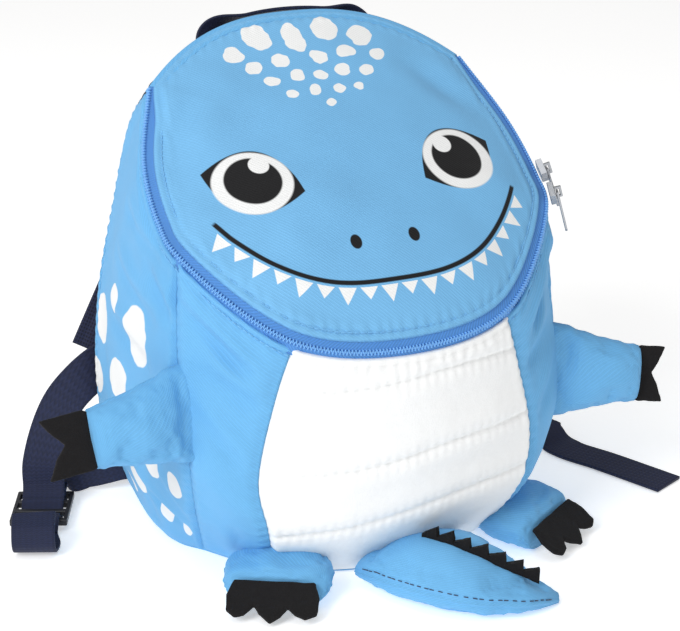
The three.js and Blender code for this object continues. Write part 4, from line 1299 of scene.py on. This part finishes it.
class BACKPACK_OT_walls(bpy.types.Operator):
    """Sews the sides, the front gores, the belly, the padded back and the bottom"""

    bl_idname = "backpack.walls"
    bl_label = "Walls"

    def execute(self, context):
        for side, label in SIDES:
            spotted = material("sides", woven, "spotted_side_cloth", colour_of("body"), SIDE_SPOTS)
            place = wall_place(side * CORNER, side * FRONT, wall_relief(side, SIDE_FOLDS, SIDE_WAVES, 9))
            size = count_of(span_of(CORNER, FRONT)), count_of(SIDE_TALL)
            cloth_piece(f"side_panel_{label}", size, place, CLOTH, spotted)
            place = wall_place(side * FRONT, side * BELLY, wall_relief(side, FRONT_FOLDS, FRONT_WAVES, 8))
            size = count_of(span_of(FRONT, BELLY)), count_of(FRONT_TALL)
            cloth_piece(f"front_panel_{label}", size, place, CLOTH, body_cloth())
        place = wall_place(BELLY, FAR_BELLY, belly_relief, seam_depth=1.8)
        size = count_of(span_of(BELLY, FAR_BELLY)), count_of(BELLY_TALL)
        cloth_piece("belly_panel", size, place, FLEECE, material("fleece", fleece_cloth))
        place = wall_place(-CORNER, CORNER, back_relief, seam_depth=2.5, hem=lambda u: ZIP_HALF + GAP)
        mesh_cloth = material("back", spacer_mesh, "back_mesh", colour_of("strap"))
        cloth_piece("back_panel", GRIDS["back"], place, BACK_PAD, mesh_cloth)
        base = softened("base_panel", 0.4, 1, body_cloth())
        flat = points_of(base.data) * (BASE_SCALE, BASE_SCALE, 1)
        base.data.vertices.foreach_set("co", flat.ravel())
        add_map(base.data, "weave", flat[:, :2] / MM)
        return {"FINISHED"}


class BACKPACK_OT_lid(bpy.types.Operator):
    """Sews the domed lid with its printed face"""

    bl_idname = "backpack.lid"
    bl_label = "Lid"

    def execute(self, context):
        maps = (("face", face_point), ("mouth", mouth_point))
        size = count_of(LID_SPAN), count_of(LID_SPAN)
        cloth_piece("face_panel", size, lid_place, CLOTH, material("face", face_cloth), maps)
        return {"FINISHED"}


class BACKPACK_OT_zip(bpy.types.Operator):
    """Builds the zip: tapes, teeth, sliders and pulls"""

    bl_idname = "backpack.zip"
    bl_label = "Zip"

    def execute(self, context):
        tape = material("tape", zip_tape)
        for label, low, high in (("body", -ZIP_HALF, -0.1), ("lid", 0.1, ZIP_HALF)):
            place = strip_place(CORNER, FAR_CORNER, low, high, -TAPE_DROP)
            cloth_piece(f"zip_tape_{label}", GRIDS["tape"], place, TAPE, tape)
        binding = strip_place(-CORNER, CORNER, -ZIP_HALF, ZIP_HALF)
        cloth_piece("lid_binding", GRIDS["binding"], binding, TAPE, body_cloth())
        self.teeth()
        self.hem_stitches()
        metal = material("metal", cast_metal)
        for place in ("upper", "lower"):
            softened(f"zip_slider_{place}", 0.4, 2, metal)
            softened(f"zip_pull_{place}", 0.3, 2, metal, f"pull_{place}")
        return {"FINISHED"}

    @staticmethod
    def teeth():
        pitch = sizes().tooth_pitch / MM
        us = even_steps(lambda u: rim(u, 0 * u), CORNER + 0.03, FAR_CORNER - 0.03, pitch)
        p, out, along, cross = rim_frame(us)
        side = np.where(np.arange(len(us)) % 2 == 0, 1.0, -1.0)[:, None]
        p = p + out * 0.06 * COIL_HEIGHT + cross * side * 0.3 * COIL_HALF
        part = bar((1.35 * COIL_HALF, 0.8, 0.62 * COIL_HEIGHT), bevel=0.24)
        lean = unit(cross + along * side * 0.22)
        mesh = mesh_of("zip_coil_teeth", repeated(part, zip(p, lean, np.cross(out, lean), out)))
        coil = material("coil", nylon, "zip_coil_nylon", COIL_BLUE)
        dressed("zip_coil_teeth", mesh, "zip_coil", coil)

    @staticmethod
    def hem_stitches():
        thread = material("thread", thread_material, "blue_thread", SKY_LIGHT)
        wall = -WALL_HEM - HEM_STITCH
        seams = (("right", wall, CORNER, BELLY), ("left", wall, FAR_BELLY, FAR_CORNER),
                 ("lid", LID_HEM + HEM_STITCH, CORNER + 0.4, FAR_CORNER - 0.4))
        for label, s, start, stop in seams:
            us = even_steps(lambda u: rim(u, s + 0 * u), start, stop, sizes().stitch_pitch / MM)
            ways = rim_ways(us, s + 0 * us)
            stitch_row(f"hem_stitches_{label}", rim(us, s + 0 * us) - ways * 0.1, ways, thread)


class BACKPACK_OT_limbs(bpy.types.Operator):
    """Stuffs the arms, the feet and the tail and cuts their felt claws"""

    bl_idname = "backpack.limbs"
    bl_label = "Limbs"

    def execute(self, context):
        for label, where in ARMS.items():
            self.stuff(f"arm_{label}", GRIDS["arm"], arm_place(*where))
            felt_piece(f"claw_{label}")
        for label, where in FEET.items():
            self.stuff(f"foot_{label}", GRIDS["foot"], foot_place(*where))
            felt_piece(f"toes_{label}")
        self.tail_stitches(self.stuff("tail", GRIDS["tail"], tail_place()))
        felt_piece("tail_spikes", bevel=0.9)
        return {"FINISHED"}

    @staticmethod
    def stuff(name, size, place):
        piece = tube_piece(name, size, place, body_cloth())
        puffed(piece, place)
        return piece

    @staticmethod
    def tail_stitches(tail):
        """A row of stitches a little above the tail's side seam, on the puffed cloth."""
        thread = material("dark_thread", thread_material, "dark_thread", THREAD_BLUE)
        b = np.linspace(0.12, 0.93, 30)
        skin = points_of(tail.data) / MM
        near = [np.argmin(np.linalg.norm(skin - q, axis=1)) for q in tail_place()(0 * b + 0.465, b)[0]]
        away = unit((skin[near] - tail_line(b)) * (1, 1, 0.3))
        stitch_row("tail_stitches", skin[near] + away * 0.1, away, thread)


class BACKPACK_OT_straps(bpy.types.Operator):
    """Builds the padded straps, the webbing, the buckles and the grab handle"""

    bl_idname = "backpack.straps"
    bl_label = "Straps"

    def execute(self, context):
        webbing = material("webbing", ribbed, "strap_webbing", colour_of("strap"))
        mesh_cloth = material("pad", spacer_mesh, "strap_mesh", colour_of("strap"))
        plastic = material("plastic", moulded_plastic)
        for side, label in SIDES:
            points = [strap_point(r) * (side, 1, 1) for r in STRAP_ROWS]
            line = points, [np.array(r[3]) * (1, side, side) for r in STRAP_ROWS]
            piece = band_piece(f"shoulder_strap_{label}", line, GRIDS["strap"], pad_section, mesh_cloth)
            line = webbing_line(side, BUCKLES[label], FREE_ENDS[label])
            band_piece(f"webbing_{label}", line, GRIDS["webbing"], flat_section, webbing)
            line = anchor_line(side, BUCKLES[label])
            band_piece(f"anchor_{label}", line, GRIDS["anchor"], flat_section, webbing)
            softened(f"buckle_{label}", 0.7, 3, plastic)
        band_piece("grab_handle", handle_line(), GRIDS["handle"], flat_section, webbing)
        return {"FINISHED"}


# Lamps: name, place and size in metres, and watts
LAMPS = (("key", (-1.5, -0.9, 1.35), 0.9, 25), ("fill", (1.5, -0.9, 0.8), 1.2, 2.5),
         ("top", (-0.3, -0.2, 1.9), 1.2, 6))
LAMP_AIM, GLOW = (0, -0.02, 0.14), 0.42
# Camera fitted to the bag's outline: picture width, focal length and shift in pixels, places in millimetres
PICTURE, FOCAL, SHIFT, SENSOR = 680, 1925, (-9.35, -30.09), 36
CAMERA_PLACE, CAMERA_AIM = (-384.70, -972.16, 544.20), (0, -20, 150)


class BACKPACK_OT_stage(bpy.types.Operator):
    """Sets the floor, the lights and the camera"""

    bl_idname = "backpack.stage"
    bl_label = "Stage"

    def execute(self, context):
        bm = bmesh.new()
        bmesh.ops.create_grid(bm, x_segments=2, y_segments=2, size=4)
        floor = added("floor", mesh_of("floor", bm))
        net = Net("pale_floor", roughness=0.9)
        net.shader.inputs["Emission Color"].default_value = (1, 1, 1, 1)
        net.shader.inputs["Emission Strength"].default_value = GLOW
        pale = net.shade((0.93, 0.93, 0.93), 0.98 + net.grain(400, 1) * 0.04)
        floor.data.materials.append(net.finish(pale))
        for name, place, size, power in LAMPS:
            lamp = bpy.data.lights.new(name, "AREA")
            lamp.size, lamp.energy = size, power
            self.aimed(name, lamp, Vector(place), Vector(LAMP_AIM))
        world = bpy.data.worlds.new("studio")
        world.use_nodes = True
        background = world.node_tree.nodes["Background"]
        background.inputs["Color"].default_value = (1, 0.995, 0.985, 1)
        background.inputs["Strength"].default_value = GLOW
        camera = bpy.data.cameras.new("camera")
        camera.sensor_width, camera.lens = SENSOR, SENSOR * FOCAL / PICTURE
        camera.shift_x, camera.shift_y = (pixels / PICTURE for pixels in SHIFT)
        camera.clip_start, camera.clip_end = 0.05, 20
        scene = context.scene
        scene.camera = self.aimed("camera", camera, Vector(CAMERA_PLACE) * MM, Vector(CAMERA_AIM) * MM)
        scene.world = world
        scene.view_settings.view_transform = "Standard"
        return {"FINISHED"}

    @staticmethod
    def aimed(name, data, place, aim):
        """Adds a lamp or a camera that looks at a place."""
        made = added(name, data)
        made.location = place
        made.rotation_euler = (aim - place).to_track_quat("-Z", "Y").to_euler()
        return made


class BACKPACK_PT_panel(bpy.types.Panel):
    """Lists the operators of the backpack"""

    bl_label = "Backpack"
    bl_idname = "BACKPACK_PT_panel"
    bl_space_type = "VIEW_3D"
    bl_region_type = "UI"
    bl_category = "Backpack"

    def draw(self, context):
        for group in (context.scene.backpack_sizes, context.scene.backpack_colours):
            for name in group.__annotations__:
                self.layout.prop(group, name)
        for operator in OPERATORS:
            self.layout.operator(operator.bl_idname)


OPERATORS = (BACKPACK_OT_walls, BACKPACK_OT_lid, BACKPACK_OT_zip, BACKPACK_OT_limbs, BACKPACK_OT_straps,
             BACKPACK_OT_stage)
CLASSES = (BackpackSizes, BackpackColours, *OPERATORS, BACKPACK_PT_panel)


def register():
    for cls in CLASSES:
        bpy.utils.register_class(cls)
    bpy.types.Scene.backpack_sizes = bpy.props.PointerProperty(type=BackpackSizes)
    bpy.types.Scene.backpack_colours = bpy.props.PointerProperty(type=BackpackColours)


def unregister():
    del bpy.types.Scene.backpack_sizes
    del bpy.types.Scene.backpack_colours
    for cls in reversed(CLASSES):
        bpy.utils.unregister_class(cls)


def main():
    register()
    bpy.ops.backpack.walls()
    bpy.ops.backpack.lid()
    bpy.ops.backpack.zip()
    bpy.ops.backpack.limbs()
    bpy.ops.backpack.straps()
    bpy.ops.backpack.stage()
    bpy.context.view_layer.update()


if __name__ == "__main__":
    main()
